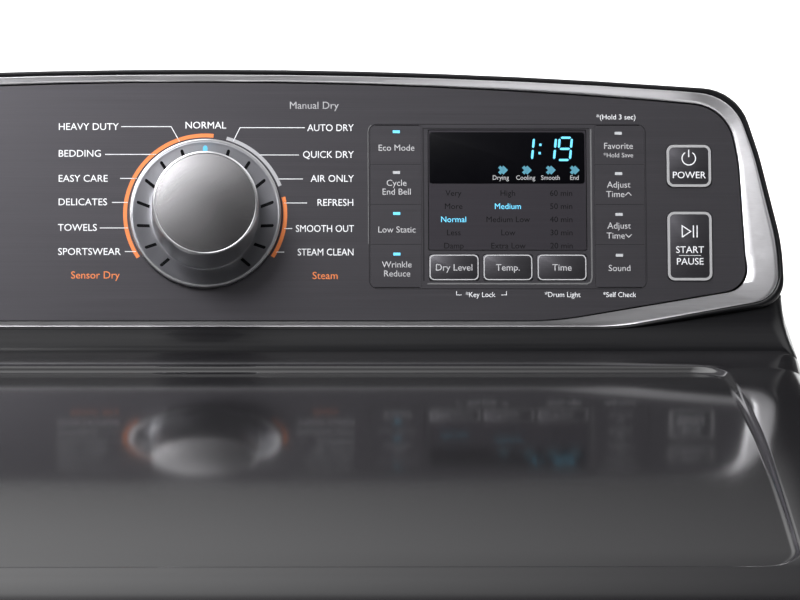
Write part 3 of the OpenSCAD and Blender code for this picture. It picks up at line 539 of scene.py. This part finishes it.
KNOB_H, KNOB_FOOT = 36.0, -10
CAP_EDGE, CAP_DOME, CAP_SUNK = 29.4, 2.0, 0.1
CAP_RADII = (0.0, 5, 10, 15, 20, 25, CAP_EDGE)
knob = Shape()
cap_profile = [(r, KNOB_H - CAP_SUNK - CAP_DOME * (r / CAP_EDGE) ** 2) for r in CAP_RADII]
revolve(knob, cap_profile)
knob.make("knob_cap", "knob", "satin_silver", CAP, ["dial_knob"], 28)
knob_side = Shape()
knob_edge = [(29.2, 2.6), (29.4, 2.0), (29.8, 1.7), (30.4, 1.9), (30.9, 2.4), (31.0, 3.2), (30.7, 3.7),
             (31.1, 4.2)]
knob_skirt = [(31.2, 16), (31.3, 8), (31.3, KNOB_FOOT), (28.8, KNOB_FOOT)]
knob_inside = [(28.8, KNOB_H - 4), (8, KNOB_H - 4), (8, -2.5), (3, -2.5), (3, -19)]
revolve(knob_side, [(r, KNOB_H - below) for r, below in knob_edge] + knob_skirt + knob_inside)
knob_side.make("knob_side", "knob", "satin_silver", CHROME, ["dial_knob"], 28)

# ---------- Display ----------

SCREEN_BACK, SCREEN_W, WINDOW_W = -2.6, -0.05, -0.10
lens = Shape()
slab(lens, box_outline(132.0, 86.2, 223.6, 117.2, 1.8), SCREEN_BACK, SCREEN_W, 0.1)
lens.make("display_glass", "cabinet", "display_black", BLACK, ["display_lens"], 30)
window = Shape()
slab(window, box_outline(131.5, 46.5, 224.3, 118.3, 0.8), SCREEN_BACK, WINDOW_W)
window.make("option_window", "cabinet", "display_black", WINDOW, ["display_lens"], 30)

SEGMENTS = {"1": "bc", "9": "abcdfg"}
FIGURE_LEAN, FIGURE_THICK = 0.1, 0.05


def digit(shape, text, u, v, width=7.2, height=13.4, bar=1.35):
    """One seven segment figure, leaning a little to the right."""
    half = height / 2
    ends = {"a": ((0, half), (width, half)), "g": ((0, 0), (width, 0)), "d": ((0, -half), (width, -half)),
            "f": ((0, half), (0, 0)), "b": ((width, half), (width, 0)), "c": ((width, 0), (width, -half))}
    for name in SEGMENTS[text]:
        a, b = (Vector(p) for p in ends[name])
        along = (b - a).normalized()
        side = Vector((-along.y, along.x)) * bar / 2
        a, b = a + along * 0.5, b - along * 0.5
        tip = along * bar / 2
        outline = [a, a + tip - side, b - tip - side, b, b - tip + side, a + tip + side]
        leaning = [(u + p.x + FIGURE_LEAN * p.y, v + p.y) for p in outline]
        slab(shape, leaning, SCREEN_W, SCREEN_W + FIGURE_THICK)


FIGURES_V = 107.2
COLON_U, COLON_V, COLON_STEP, DOT_HALF = 197.1, 104.6, 5.0, 0.7
lit = Shape()
for text, u in (("1", 186.0), ("1", 199.0), ("9", 208.4)):
    digit(lit, text, u, FIGURES_V)
for step in (0, COLON_STEP):
    u, v = COLON_U + step * FIGURE_LEAN, COLON_V + step
    dot = box_outline(u - DOT_HALF, v - DOT_HALF, u + DOT_HALF, v + DOT_HALF, 0.2, 2)
    slab(lit, dot, SCREEN_W, SCREEN_W + FIGURE_THICK)
lit.make("display_figures", "cabinet", "lamp_plastic", CYAN)
marks = Shape()
CHEVRON_V, CHEVRON_HALF, CHEVRON_WIDTH = 94.4, 2.0, 1.9
for u in (175.2, 189.3, 203.4, 217.5):
    for shift in (-0.9, 0.9):
        left, right = u + shift - 1.1, u + shift + 0.9
        path = [(left, CHEVRON_V + CHEVRON_HALF), (right, CHEVRON_V), (left, CHEVRON_V - CHEVRON_HALF)]
        ribbon(marks, path, CHEVRON_WIDTH, SCREEN_W)
marks.make("display_chevrons", "cabinet", "lamp_plastic", CYAN_DIM)

# ---------- Keys, with their lamps and words ----------

KEY_BACK = -2.4


def key(name, box, radius, proud, material=PANEL, ease=0.12):
    """One key's cap, which rides on the key's own body."""
    cap = Shape()
    slab(cap, box_outline(*box, radius), KEY_BACK, proud, ease)
    cap.make(name + "_face", name + "_cap", "key_plastic", material, [name], 30)


LEFT_MID, RIGHT_MID = 112.6, 243.6
COLUMN_TEXT, SMALL_TEXT, KEY_TEXT, BIG_KEY_TEXT = 5.3, 3.9, 5.6, 5.7
LAMP_BAR_HALF_U, LAMP_BAR_HALF_V = 2.1, 0.85
THIN_LINE, ARROW_LINE = 0.6, 0.5


def column_words(shape, name, lines, mid):
    """The words on one key of the two columns; a time key also has an arrow."""
    for text, v in lines:
        if text == "Time":
            write(shape, text, mid - 2.0, v, COLUMN_TEXT, w=0.02)
            up = 1 if name == "time_up_key" else -1
            u = mid + 5.6
            arrow = [(u - 1.8, v - 0.8 * up), (u, v + 1.0 * up), (u + 1.8, v - 0.8 * up)]
            ribbon(shape, arrow, ARROW_LINE, 0.03)
        else:
            write(shape, text, mid, v, COLUMN_TEXT, w=0.02)
    if name == "favourite_key":
        write(shape, "*Hold Save", mid, 103.4, SMALL_TEXT, w=0.02)


# Keys of the two columns: (name, row, lamp's material, lamp's height, words with their heights)
left_keys = [
    ("eco_key", 3, CYAN, 117.4, [("Eco Mode", 107.8)]),
    ("bell_key", 2, WHITE_LAMP, 92.9, [("Cycle", 86.7), ("End Bell", 81.4)]),
    ("static_key", 1, CYAN, 68.3, [("Low Static", 58.7)]),
    ("wrinkle_key", 0, CYAN, 44.0, [("Wrinkle", 37.8), ("Reduce", 32.4)]),
]
right_keys = [
    ("favourite_key", 3, WHITE_LAMP, 116.6, [("Favorite", 109.0)]),
    ("time_up_key", 2, WHITE_LAMP, 92.3, [("Adjust", 85.7), ("Time", 80.0)]),
    ("time_down_key", 1, WHITE_LAMP, 67.8, [("Adjust", 61.1), ("Time", 55.1)]),
    ("sound_key", 0, WHITE_LAMP, 43.3, [("Sound", 35.7)]),
]
for (u0, u1), mid, column_keys in ((LEFT_COL, LEFT_MID, left_keys), (RIGHT_COL, RIGHT_MID, right_keys)):
    for name, row, lamp_material, lamp_v, lines in column_keys:
        key(name, (u0, KEY_ROWS[row] + 0.1, u1, KEY_ROWS[row + 1] - 0.1), 0.4, 0.0, FASCIA, 0.0)
        lamp = Shape()
        slab(lamp, box_outline(mid - LAMP_BAR_HALF_U, lamp_v - LAMP_BAR_HALF_V, mid + LAMP_BAR_HALF_U,
                               lamp_v + LAMP_BAR_HALF_V, 0.2, 2), 0.0, 0.12)
        lamp.make(name + "_lamp", name + "_cap", "lamp_plastic", lamp_material)
        label = Shape()
        column_words(label, name, lines, mid)
        label.make(name + "_words", name + "_cap", "lamp_plastic", INK_SOFT)

OPTION_PROUD, OPTION_MID_V = 0.25, 36.0
option_keys = (("dry_level_key", "Dry Level"), ("temperature_key", "Temp."), ("time_key", "Time"))
for (name, text), (u0, u1) in zip(option_keys, OPTION_COLS):
    v0, v1 = OPTION_ROW
    key(name, (u0, v0, u1, v1), 2, OPTION_PROUD)
    label = Shape()
    write(label, text, (u0 + u1) / 2, OPTION_MID_V, KEY_TEXT, w=OPTION_PROUD)
    ribbon(label, box_outline(u0 + 0.5, v0 + 0.5, u1 - 0.5, v1 - 0.5, 2.6), THIN_LINE, OPTION_PROUD, True)
    label.make(name + "_words", name + "_cap", "lamp_plastic", INK_SOFT)

BIG_PROUD = 0.55
RIM_IN, RIM_WIDTH = 0.9, 1.5


def power_words(shape):
    """A power mark, an open ring with a bar, over its word."""
    u, v = (POWER_BOX[0] + POWER_BOX[2]) / 2, 101.4
    ribbon(shape, arc_path(4.0, 32, 328, (u, v), 12), THIN_LINE, BIG_PROUD)
    ribbon(shape, [(u, v + 0.8), (u, v + 5.2)], THIN_LINE, BIG_PROUD + 0.01)
    write(shape, "POWER", u, 91.4, BIG_KEY_TEXT, w=BIG_PROUD)


def start_words(shape):
    """A triangle and two bars over the two words."""
    u, v = (START_BOX[0] + START_BOX[2]) / 2, 57.5
    triangle = [(u - 4.4, v - 3.4), (u - 4.4, v + 3.4), (u + 0.6, v), (u - 4.4, v - 3.4)]
    ribbon(shape, triangle, THIN_LINE, BIG_PROUD)
    for shift in (2.2, 4.4):
        ribbon(shape, [(u + shift, v - 3.6), (u + shift, v + 3.6)], THIN_LINE, BIG_PROUD + 0.01)
    write(shape, "START", u, 46.6, BIG_KEY_TEXT, w=BIG_PROUD)
    write(shape, "PAUSE", u, 39.6, BIG_KEY_TEXT, w=BIG_PROUD)
    ribbon(shape, [(u - 6.5, 43.1), (u + 6.5, 43.1)], 0.25, BIG_PROUD)


for name, box, draw in (("power_key", POWER_BOX, power_words), ("start_pause_key", START_BOX, start_words)):
    key(name, box, 4, BIG_PROUD)
    label = Shape()
    draw(label)
    label.make(name + "_words", name + "_cap", "lamp_plastic", INK)
    edge = Shape()
    rim_path = box_outline(box[0] + RIM_IN, box[1] + RIM_IN, box[2] - RIM_IN, box[3] - RIM_IN, 3.4)
    ribbon(edge, rim_path, RIM_WIDTH, 0.5, True, 0.25)
    edge.make(name + "_rim", name + "_cap", "satin_silver", RIM)

# ---------- Words and lines on the fascia ----------

inks = {"white": INK, "grey": INK_GREY, "dark": INK_DARK, "soft": INK_SOFT, "orange": ORANGE, "cyan": CYAN}
words = {name: Shape() for name in inks}
CYCLE_TEXT, GROUP_TEXT, OPTION_TEXT, NOTE_TEXT = 5.9, 6.2, 4.9, 4.3
LEFT_EDGE, RIGHT_EDGE = -86.6, 87.5
left_cycles = [("HEAVY DUTY", 120.4), ("BEDDING", 104.3), ("EASY CARE", 89.3), ("DELICATES", 75.2),
               ("TOWELS", 59.9), ("SPORTSWEAR", 45.5)]
right_cycles = [("AUTO DRY", 119.8, 0.92), ("QUICK DRY", 103.7, 0.95), ("AIR ONLY", 89.3, 0.96),
                ("REFRESH", 74.9, 0.96), ("SMOOTH OUT", 59.3, 0.88), ("STEAM CLEAN", 45.2, 0.88)]
for text, v in left_cycles:
    write(words["white"], text, LEFT_EDGE, v, CYCLE_TEXT, "LEFT")
for text, v, squeeze in right_cycles:
    write(words["white"], text, RIGHT_EDGE, v, CYCLE_TEXT, "RIGHT", squeeze)
write(words["white"], "NORMAL", 0.2, 121.3, CYCLE_TEXT)
write(words["orange"], "Sensor Dry", -78.9, 31.5, GROUP_TEXT, "LEFT")
write(words["orange"], "Steam", 78.1, 31.2, GROUP_TEXT, "RIGHT")
write(words["grey"], "Manual Dry", 78.7, 133.3, GROUP_TEXT, "RIGHT")

# Leader lines from the words to the dial's ring
LEADER_LINE = 0.42
leaders = [[(-49.5, 120.4), (-20.1, 120.4), (-15.1, 111.4)], [(58.7, 119.8), (20.5, 119.8), (16.4, 111.4)]]
leaders += [[(u0, v), (u1, v)] for u0, u1, v in (
    (-58.9, -28.9, 103.7), (-50.1, -40.1, 89.3), (-54.8, -45.4, 74.9), (-61.9, -45.4, 59.6),
    (-47.2, -40.7, 45.5), (31.6, 55.2, 103.4), (42.2, 57.5, 89.0), (46.4, 59.9, 74.6),
    (46.4, 51.1, 59.3), (41.6, 46.4, 45.2))]
for path in leaders:
    ribbon(words["white"], path, LEADER_LINE)
ARC_R, ARC_WIDTH = 47.1, 2.3
ribbon(words["orange"], arc_path(ARC_R, -123.5, 6), ARC_WIDTH)
ribbon(words["orange"], arc_path(ARC_R, 77.5, 123), ARC_WIDTH)
ribbon(words["grey"], arc_path(ARC_R, 15.5, 69), ARC_WIDTH * 0.9)

option_table = [("Very", "High", "60 min"), ("More", "Medium", "50 min"), ("Normal", "Medium Low", "40 min"),
                ("Less", "Low", "30 min"), ("Damp", "Extra Low", "20 min")]
OPTION_TOP_V, OPTION_PITCH = 80.6, 7.88
CHOSEN = ("Normal", "Medium")
for row, line in enumerate(option_table):
    for u, text in zip((146.1, 178.1, 209.6), line):
        ink_name = "cyan" if text in CHOSEN else "dark"
        write(words[ink_name], text, u, OPTION_TOP_V - OPTION_PITCH * row, OPTION_TEXT, w=WINDOW_W)
for u, text in ((174.0, "Drying"), (188.7, "Cooling"), (203.4, "Smooth"), (217.5, "End")):
    write(words["soft"], text, u, 89.9, SMALL_TEXT, w=SCREEN_W, squeeze=0.92)
write(words["white"], "*(Hold 3 sec)", 242.5, 126.4, NOTE_TEXT)
for u, text in ((161.6, "*Key Lock"), (209.9, "*Drum Light"), (243.4, "*Self Check")):
    write(words["white"], text, u, 19.8, NOTE_TEXT, squeeze=0.96)
for u, inward in ((147.5, 3.0), (176.9, -3.0)):
    ribbon(words["white"], [(u, 21.9), (u, 19.6), (u + inward, 19.6)], 0.35)
for name, material in inks.items():
    words[name].make("print_" + name, "cabinet", "lamp_plastic", material)

# Painted shade in the grooves round and between the keys, and painted highlights along their edges
grooves = Shape()
ribbon(grooves, box_outline(96.4, 23.3, 259.6, 121.9, 5), 0.55, 0.0, True)
ribbon(grooves, [(128.4, 28.0), (128.4, 119.4), (226.4, 119.4)], 0.8, 0.0)
grooves.make("keypad_groove_shade", "cabinet", "black_plastic", GROOVE_SHADE)
for side_name, (u0, u1) in (("left", LEFT_COL), ("right", RIGHT_COL)):
    key_joint_shades = Shape()
    for row in KEY_ROWS[1:-1]:
        ribbon(key_joint_shades, [(u0, row), (u1, row)], 0.25, 0.01, thick=0.03)
    key_joint_shades.make("key_joint_shades_" + side_name, "cabinet", "black_plastic", GROOVE_SHADE)
# Painted highlights on the keypad's left edge and on the display recess's lower and right edges
glints = Shape()
ribbon(glints, [(95.9, 50.0), (95.9, 117.5), (96.5, 119.9), (97.8, 121.4)], 0.45, 0.03)
ribbon(glints, [(130.5, 26.3), (224.5, 26.3), (226.6, 27.4), (227.3, 30.0), (227.3, 119.0)], 0.9, 0.03)
glints.make("keypad_edge_light", "cabinet", "satin_silver", GLINT)

# ---------- Top with its shallow recess ----------

def crown(y):
    """Height of the crowned top at a depth."""
    return CROWN_Z - CROWN_R + math.sqrt(CROWN_R ** 2 - (y - CROWN_Y) ** 2)


def top_height(y):
    """Height of the top along its middle, without the recess."""
    if y <= RECESS_REAR:
        return crown(y)
    start = crown(RECESS_REAR)
    return start + (DECK_Z - start) * min(1.0, (y - RECESS_REAR) / (DECK_Y - RECESS_REAR))


RECESS_FRONT_HW, RECESS_MIDDLE_HW, RECESS_REAR_HW = 314, 306.5, 298
RECESS_MIDDLE = -60


def recess_chain(g, fine=10):
    """Right half of the recess's outline grown by g, from front to rear."""
    front_x, middle_x, rear_x = RECESS_FRONT_HW + g, RECESS_MIDDLE_HW + g, RECESS_REAR_HW + g
    front_y, rear_y = RECESS_FRONT - g, RECESS_REAR + g
    outline = rounded([(-front_x, front_y, 22), (front_x, front_y, 22), (middle_x, RECESS_MIDDLE, 900),
                       (rear_x, rear_y, 20), (-rear_x, rear_y, 20), (-middle_x, RECESS_MIDDLE, 900)])
    front, side, rear = outline[9:18], outline[18:27], outline[27:36]
    points = []
    for chain, after in ((front, side[0]), (side, rear[0])):
        points += chain
        last = Vector(chain[-1])
        points += [tuple(last.lerp(Vector(after), k / fine)) for k in range(1, fine)]
    return points + rear


# The recess's wall: (growth of its outline, depth below the top)
RECESS_WALL = [(6.0, 0.0), (5.2, 0.12), (4.4, 0.55), (3.7, 1.25), (3.0, 2.0), (2.2, 2.6), (1.2, 2.93),
               (0.0, RECESS_DEPTH)]
top = Shape()
rings = []
for g, depth in RECESS_WALL:
    chain = recess_chain(g)
    rings.append([Vector((x, y, top_height(y) - depth)) for x, y in chain]
                 + [Vector((-x, y, top_height(y) - depth)) for x, y in reversed(chain)])
top.loft(rings)
floor = [(x, y, top_height(y) - RECESS_DEPTH) for x, y in recess_chain(0)]
top.loft([floor, [(-x, y, z) for x, y, z in floor]], False)

# Rows across the top from the rear's foot over the crown to the front's foot: (y, z, the surface's outward
# direction there in y and z, where the row starts, whether it passes the recess)
nose_lean = math.asin((CROWN_Y - FRONT_Y - NOSE_R) / (CROWN_R - NOSE_R))
nose_y = FRONT_Y + NOSE_R
nose_z = CROWN_Z - CROWN_R + (CROWN_R - NOSE_R) * math.cos(nose_lean)
chain = recess_chain(RECESS_WALL[0][0])
BOTTOM_Z = SEAM_Z + 1.0
stations = [(REAR_Y, BOTTOM_Z, 1.0, 0.0, chain[-1][0], False)]
for k in range(7):
    a = math.radians(15 * k)
    stations.append((REAR_Y - ROLL_R * (1 - math.cos(a)), DECK_Z - ROLL_R * (1 - math.sin(a)), math.cos(a),
                     math.sin(a), chain[-1][0], False))
for y in (300, 250, 200, 160, DECK_Y, 134, 128, 122, 117):
    stations.append((y, top_height(y), 0.0, 1.0, chain[-1][0], False))
for x, y in reversed(chain):
    lean = (y - CROWN_Y) / CROWN_R
    stations.append((y, top_height(y), lean, math.sqrt(1 - lean ** 2), x, True))
for k in range(13):
    a = math.pi / 2 + nose_lean + (math.pi / 2 - nose_lean) * k / 12
    stations.append((nose_y + NOSE_R * math.cos(a), nose_z + NOSE_R * math.sin(a), math.cos(a), math.sin(a),
                     chain[0][0], False))
stations.append((FRONT_Y, BOTTOM_Z, -1.0, 0.0, chain[0][0], False))
left_rows, right_rows = [], []
for y, z, ny, nz, inner_x, _ in stations:
    row = [(inner_x, y, z), ((inner_x + SIDE_X - ROLL_R) / 2, y, z)]
    for k in range(8):
        a = math.pi / 2 * k / 7
        dip = ROLL_R * (1 - math.cos(a))
        row.append((SIDE_X - ROLL_R + ROLL_R * math.sin(a), y - ny * dip, z - nz * dip))
    right_rows.append(row)
    left_rows.append([(-px, py, pz) for px, py, pz in row])
top.loft(right_rows, False)
top.loft(left_rows, False)
for a, b, s, t in zip(right_rows, right_rows[1:], stations, stations[1:]):
    if not (s[5] and t[5]):
        top.loft([[a[0], (-a[0][0], a[0][1], a[0][2])], [b[0], (-b[0][0], b[0][1], b[0][2])]], False)
for rows in (right_rows, left_rows):
    top.faces.append(tuple(top.ring([row[-1] for row in rows])))
top.make("top_skin", "cabinet", "graphite_paint", GRAPHITE, ["top_panel"], 35)

# ---------- Cabinet skins ----------

def roll_section(x, y):
    """Front corner of the cabinet seen from above, from the front to the side."""
    turns = [math.radians(11.25 * k) for k in range(9)]
    return [(x - ROLL_R + ROLL_R * math.sin(a), y + ROLL_R * (1 - math.cos(a))) for a in turns]


THROAT_R, THROAT_IN, THROAT_LIP, THROAT_END = 203.0, 0.992, 1.0, -243.0
SLOT_Y, SLOT_HALF = (-272.0, -246.0), 116.0
PANEL_BOTTOM, PANEL_TOP = PAN_Z + 1.6, SEAM_Z - 0.5
CIRCLE = 96
turns = [2 * math.pi * (k + 0.5) / CIRCLE for k in range(CIRCLE)]
circle = [(THROAT_R * math.cos(a), THROAT_R * math.sin(a)) for a in turns]
face_x = SIDE_X - ROLL_R


def to_border(x, z):
    """From the door opening's rim straight out to the flat panel's border."""
    scale = min(face_x / abs(x), ((PANEL_TOP - DOOR_Z) if z > 0 else (DOOR_Z - PANEL_BOTTOM)) / abs(z))
    return x * scale, z * scale


def front_ring(points, y, scale=1.0):
    """A ring about the door opening's middle, at one depth."""
    return [(x * scale, y, DOOR_Z + z * scale) for x, z in points]


front = Shape()
border = [to_border(x, z) for x, z in circle]
front.loft([front_ring(border, FRONT_Y), front_ring(circle, FRONT_Y),
            front_ring(circle, FRONT_Y + THROAT_LIP, THROAT_IN)])
throat = [front.ring(front_ring(circle, y, THROAT_IN)) for y in (FRONT_Y + THROAT_LIP, *SLOT_Y, THROAT_END)]
SLOT_BAND = 1
for band, (a, b) in enumerate(zip(throat, throat[1:])):
    for i in range(CIRCLE):
        j = (i + 1) % CIRCLE
        over_slot = abs(circle[i][0] + circle[j][0]) < 2 * SLOT_HALF and circle[i][1] < 0
        if not (band == SLOT_BAND and over_slot):
            front.faces.append((a[i], a[j], b[j], b[i]))

# The flat triangles between the border's last points and the panel's corners
for corner_x, corner_z in ((1, 1), (1, -1), (-1, 1), (-1, -1)):
    near = [p for p in border if p[0] * corner_x > 0 and p[1] * corner_z > 0]
    above = max(near, key=lambda p: abs(p[1]) * 10000 + abs(p[0]))
    beside = max((p for p in near if abs(abs(p[0]) - face_x) < 0.01), key=lambda p: abs(p[1]))
    corner = (corner_x * face_x, (PANEL_TOP if corner_z > 0 else PANEL_BOTTOM) - DOOR_Z)
    front.faces.append(tuple(front.ring(front_ring([beside, above, corner], FRONT_Y))))
for side in (-1, 1):
    section_xy = roll_section(SIDE_X, FRONT_Y)
    front.loft([[(side * x, y, z) for x, y in section_xy] for z in (PANEL_BOTTOM, PANEL_TOP)], False)
front.make("front_skin", "cabinet", "graphite_paint", GRAPHITE, ["front_panel"], 35)

for side, name in ((-1, "left"), (1, "right")):
    wall = Shape()
    y0, y1 = FRONT_Y + ROLL_R + 0.8, REAR_Y - 0.6
    outline = [(y0 + 2, SIDE_X - 1.6), (y0, SIDE_X - 1.2), (y0, SIDE_X - 0.3), (y0 + 0.3, SIDE_X),
               (y1 - 2, SIDE_X), (y1 - 0.6, SIDE_X - 0.6), (y1, SIDE_X - 2.0), (y1, SIDE_X - 16),
               (y1 - 1, SIDE_X - 16), (y1 - 1, SIDE_X - 1.6)]
    wall.loft([[(side * x, y, z) for y, x in outline] for z in (PANEL_BOTTOM, PANEL_TOP)], True, True, True)
    wall.make("side_skin_" + name, "cabinet", "graphite_paint", GRAPHITE, ["side_panel_" + name], 35)

# ---------- Door ----------

OUTER, INNER = (DOOR_SIZE, DOOR_CORNER), (WINDOW_SIZE, WINDOW_CORNER)

# The frame's section, from its rear edge round the front to the window and back again:
# (the outline it follows, growth of its size, growth of its corner radius, depth)
DOOR_SECTION = [
    (OUTER, 0, 0, DOOR_BACK), (OUTER, 0, 0, -352), (OUTER, -1.6, -0.8, -356.5), (OUTER, -6, -3, -360.5),
    (OUTER, -13, -6.5, -362.6), (OUTER, -22, -9, DOOR_FRONT), (INNER, 7, 3.5, DOOR_FRONT),
    (INNER, 4, 2, -362.2), (INNER, 2, 1, -360), (INNER, 2, 1, -352.5), (INNER, -24, -12, -352.5),
    (INNER, -24, -12, -350),
    (OUTER, -14, -7, -350), (OUTER, -6, -3, -346), (OUTER, -6, -3, DOOR_BACK), (OUTER, 0, 0, DOOR_BACK),
]


def door_ring(outline, grow, grow_corner, y):
    half = (outline[0] + grow) / 2
    corner = outline[1] + grow_corner
    return [(x, y, z + DOOR_Z) for x, z in box_outline(-half, -half, half, half, corner, 10)]


door = Shape()
door.loft([door_ring(*row) for row in DOOR_SECTION])
door.make("door_shell", "door", "satin_silver", DOOR_SILVER, ["door_frame"], 35)

# ---------- CAD pieces that stay: softened edges and real finishes ----------

node_slot = {part["node"]: part["material_slot"] for part in frame["record"]["subparts"]}
BEVEL, WELD, SHARP_ANGLE = 0.4, 0.01, 40
SOFT = {"drum_shell": 0.3, "drum_baffles": 1.5, "drive_motor": 1.2, "rear_panel": 0.3, "rear_bulkhead": 0.1,
        "door_glass": 0.0}
for name, node in CAD.items():
    node.data.materials.clear()
    node.data.materials.append(SLOT_FINISH[node_slot[name]])
    weld = node.modifiers.new("weld", "WELD")
    weld.merge_threshold = WELD * MM
    if SOFT.get(name) == 0.0:
        continue
    bevel = node.modifiers.new("bevel", "BEVEL")
    bevel.width = SOFT.get(name, BEVEL) * MM
    bevel.segments = 2
    bevel.limit_method = "ANGLE"
    bevel.angle_limit = math.radians(SHARP_ANGLE)
    bevel.harden_normals = False

# ---------- Screws and cover on the rear ----------

def screw(shape, x, z, r=4.2):
    """A round screw head on the rear panel with a small hollow in it."""
    turns = [math.radians(30 * k) for k in range(12)]
    rings = []
    for radius, out in ((r, 0.0), (r, 0.6), (r * 0.8, 1.6), (r * 0.45, 2.0), (r * 0.4, 1.2)):
        rings.append([(x + radius * math.cos(a), REAR_Y + out, z + radius * math.sin(a)) for a in turns])
    shape.loft(rings, True, True, True)


hardware = Shape()
edge_screws = [(x, z) for x in (-330, -110, 110, 330) for z in (48, 920)]
side_screws = [(x, z) for z in (200, 400, 640, 780) for x in (-338, 338)]
for x, z in edge_screws + side_screws:
    screw(hardware, x, z)
hardware.make("rear_screws", "cabinet", "zinc_steel", SLOT_FINISH["zinc_steel"])
# The terminal cover: (inset of its outline, depth behind the rear panel)
COVER_SECTION = ((0, 0), (0, 4), (1, 6.4), (3, 7.2))
cover = Shape()
cover.loft([[(x, REAR_Y + out, z) for x, z in box_outline(185 + g, 285 + g, 315 - g, 395 - g, 6)]
            for g, out in COVER_SECTION], True, True, True)
cover.make("terminal_cover", "cabinet", "zinc_steel", SLOT_FINISH["zinc_steel"])

# ---------- Floor, lights and camera ----------

ground = bpy.data.meshes.new("ground")
FLOOR_X, FLOOR_FRONT, FLOOR_REAR = 60, -30, 80
ground.from_pydata([(-FLOOR_X, FLOOR_FRONT, 0), (FLOOR_X, FLOOR_FRONT, 0), (FLOOR_X, FLOOR_REAR, 0),
                    (-FLOOR_X, FLOOR_REAR, 0)], [], [(0, 1, 2, 3)])
ground_piece = bpy.data.objects.new("ground", ground)
bpy.context.scene.collection.objects.link(ground_piece)
FLOOR = finish("pale_floor", (0.86, 0.86, 0.86), 0, 0.9, grain=(3, 3, 3), mottle=0.01, spread=0.02)
ground.materials.append(FLOOR)


def softbox(name, place, target, width, height, power):
    """A rectangular soft light, in metres and watts, aimed at a target."""
    lamp = bpy.data.lights.new(name, "AREA")
    lamp.shape = "RECTANGLE"
    lamp.size, lamp.size_y = width, height
    lamp.energy = power
    holder = bpy.data.objects.new(name, lamp)
    bpy.context.scene.collection.objects.link(holder)
    holder.location = place
    holder.rotation_euler = (Vector(target) - Vector(place)).to_track_quat("-Z", "Y").to_euler()
    return holder


softbox("key", (-0.58, -0.38, 2.0), (-0.05, 0.2, 1.08), 0.5, 0.4, 16.0)
softbox("overhead", (-0.9, -0.6, 2.8), (-0.1, -0.2, 1.0), 1.5, 0.9, 8)
softbox("strip", (-0.3, -1.0, 2.6), (0, 0.2, 1.08), 1.5, 0.5, 1.2)
softbox("front", (-2.4, -3.2, 3.2), (0, -0.2, 0.8), 1.8, 1.8, 5)
backdrop = softbox("backdrop", (0, 6.5, 3.2), (0, 6.5, 0), 10.0, 3.2, 300)
backdrop.visible_glossy = False

# Soft studio surround: dark at console height, brighter overhead, and brighter on the left than on the right.
# Each row gives (direction component, level); the three levels are multiplied.
HEIGHT_LEVELS = [(-1, 0.4), (0.05, 0.3), (0.2, 0.06), (0.33, 0.12), (0.38, 0.6), (0.5, 1.5), (0.65, 2.2),
                 (0.8, 3.0), (1, 5.0)]
ACROSS_LEVELS = [(-1, 1.5), (-0.45, 1.9), (-0.2, 1.25), (-0.04, 1.0), (0.03, 0.42), (0.09, 0.09),
                 (0.24, 0.15), (0.5, 0.9), (1, 1.1)]
DEPTH_LEVELS = [(-1, 0.14), (-0.35, 0.14), (-0.1, 0.8), (0.5, 0.95), (1, 1.0)]
world = bpy.data.worlds.new("studio")
world.use_nodes = True
sky = world.node_tree
around = sky.nodes.new("ShaderNodeTexCoord")
split = sky.nodes.new("ShaderNodeSeparateXYZ")
sky.links.new(around.outputs["Generated"], split.inputs["Vector"])


def surround_ramp(source, steps):
    """A grey ramp over one direction component, from (component, level) steps between -1 and 1."""
    span = sky.nodes.new("ShaderNodeMapRange")
    span.inputs["From Min"].default_value = -1.0
    sky.links.new(source, span.inputs["Value"])
    ramp = sky.nodes.new("ShaderNodeValToRGB")
    sky.links.new(span.outputs["Result"], ramp.inputs["Fac"])
    stops = ramp.color_ramp.elements
    for component, level in steps[1:-1]:
        stops.new((component + 1) / 2).color = (level, level, level, 1)
    stops[0].color = [steps[0][1]] * 3 + [1]
    stops[-1].color = [steps[-1][1]] * 3 + [1]
    return ramp.outputs["Color"]


level = surround_ramp(split.outputs["Z"], HEIGHT_LEVELS)
for source, steps in (("X", ACROSS_LEVELS), ("Y", DEPTH_LEVELS)):
    blend = sky.nodes.new("ShaderNodeMix")
    blend.data_type = "RGBA"
    blend.blend_type = "MULTIPLY"
    blend.inputs["Factor"].default_value = 1.0
    sky.links.new(level, blend.inputs["A"])
    sky.links.new(surround_ramp(split.outputs[source], steps), blend.inputs["B"])
    level = blend.outputs["Result"]
sky.links.new(level, sky.nodes["Background"].inputs["Color"])
bpy.context.scene.world = world
bpy.context.scene.view_settings.view_transform = "Standard"

CAMERA_PLACE, CAMERA_DOWN, CAMERA_ROLL = (0.0, -3.9117, 2.0219), 13.69, -1.5626
camera = bpy.data.cameras.new("camera")
camera.sensor_width = 36.0
camera.lens = 321.3
camera.clip_end = 200
camera_holder = bpy.data.objects.new("camera", camera)
bpy.context.scene.collection.objects.link(camera_holder)
camera_holder.location = CAMERA_PLACE
camera_holder.rotation_euler = (Matrix.Rotation(math.radians(90 - CAMERA_DOWN), 3, "X")
                                @ Matrix.Rotation(math.radians(CAMERA_ROLL), 3, "Y")).to_euler()
bpy.context.scene.camera = camera_holder
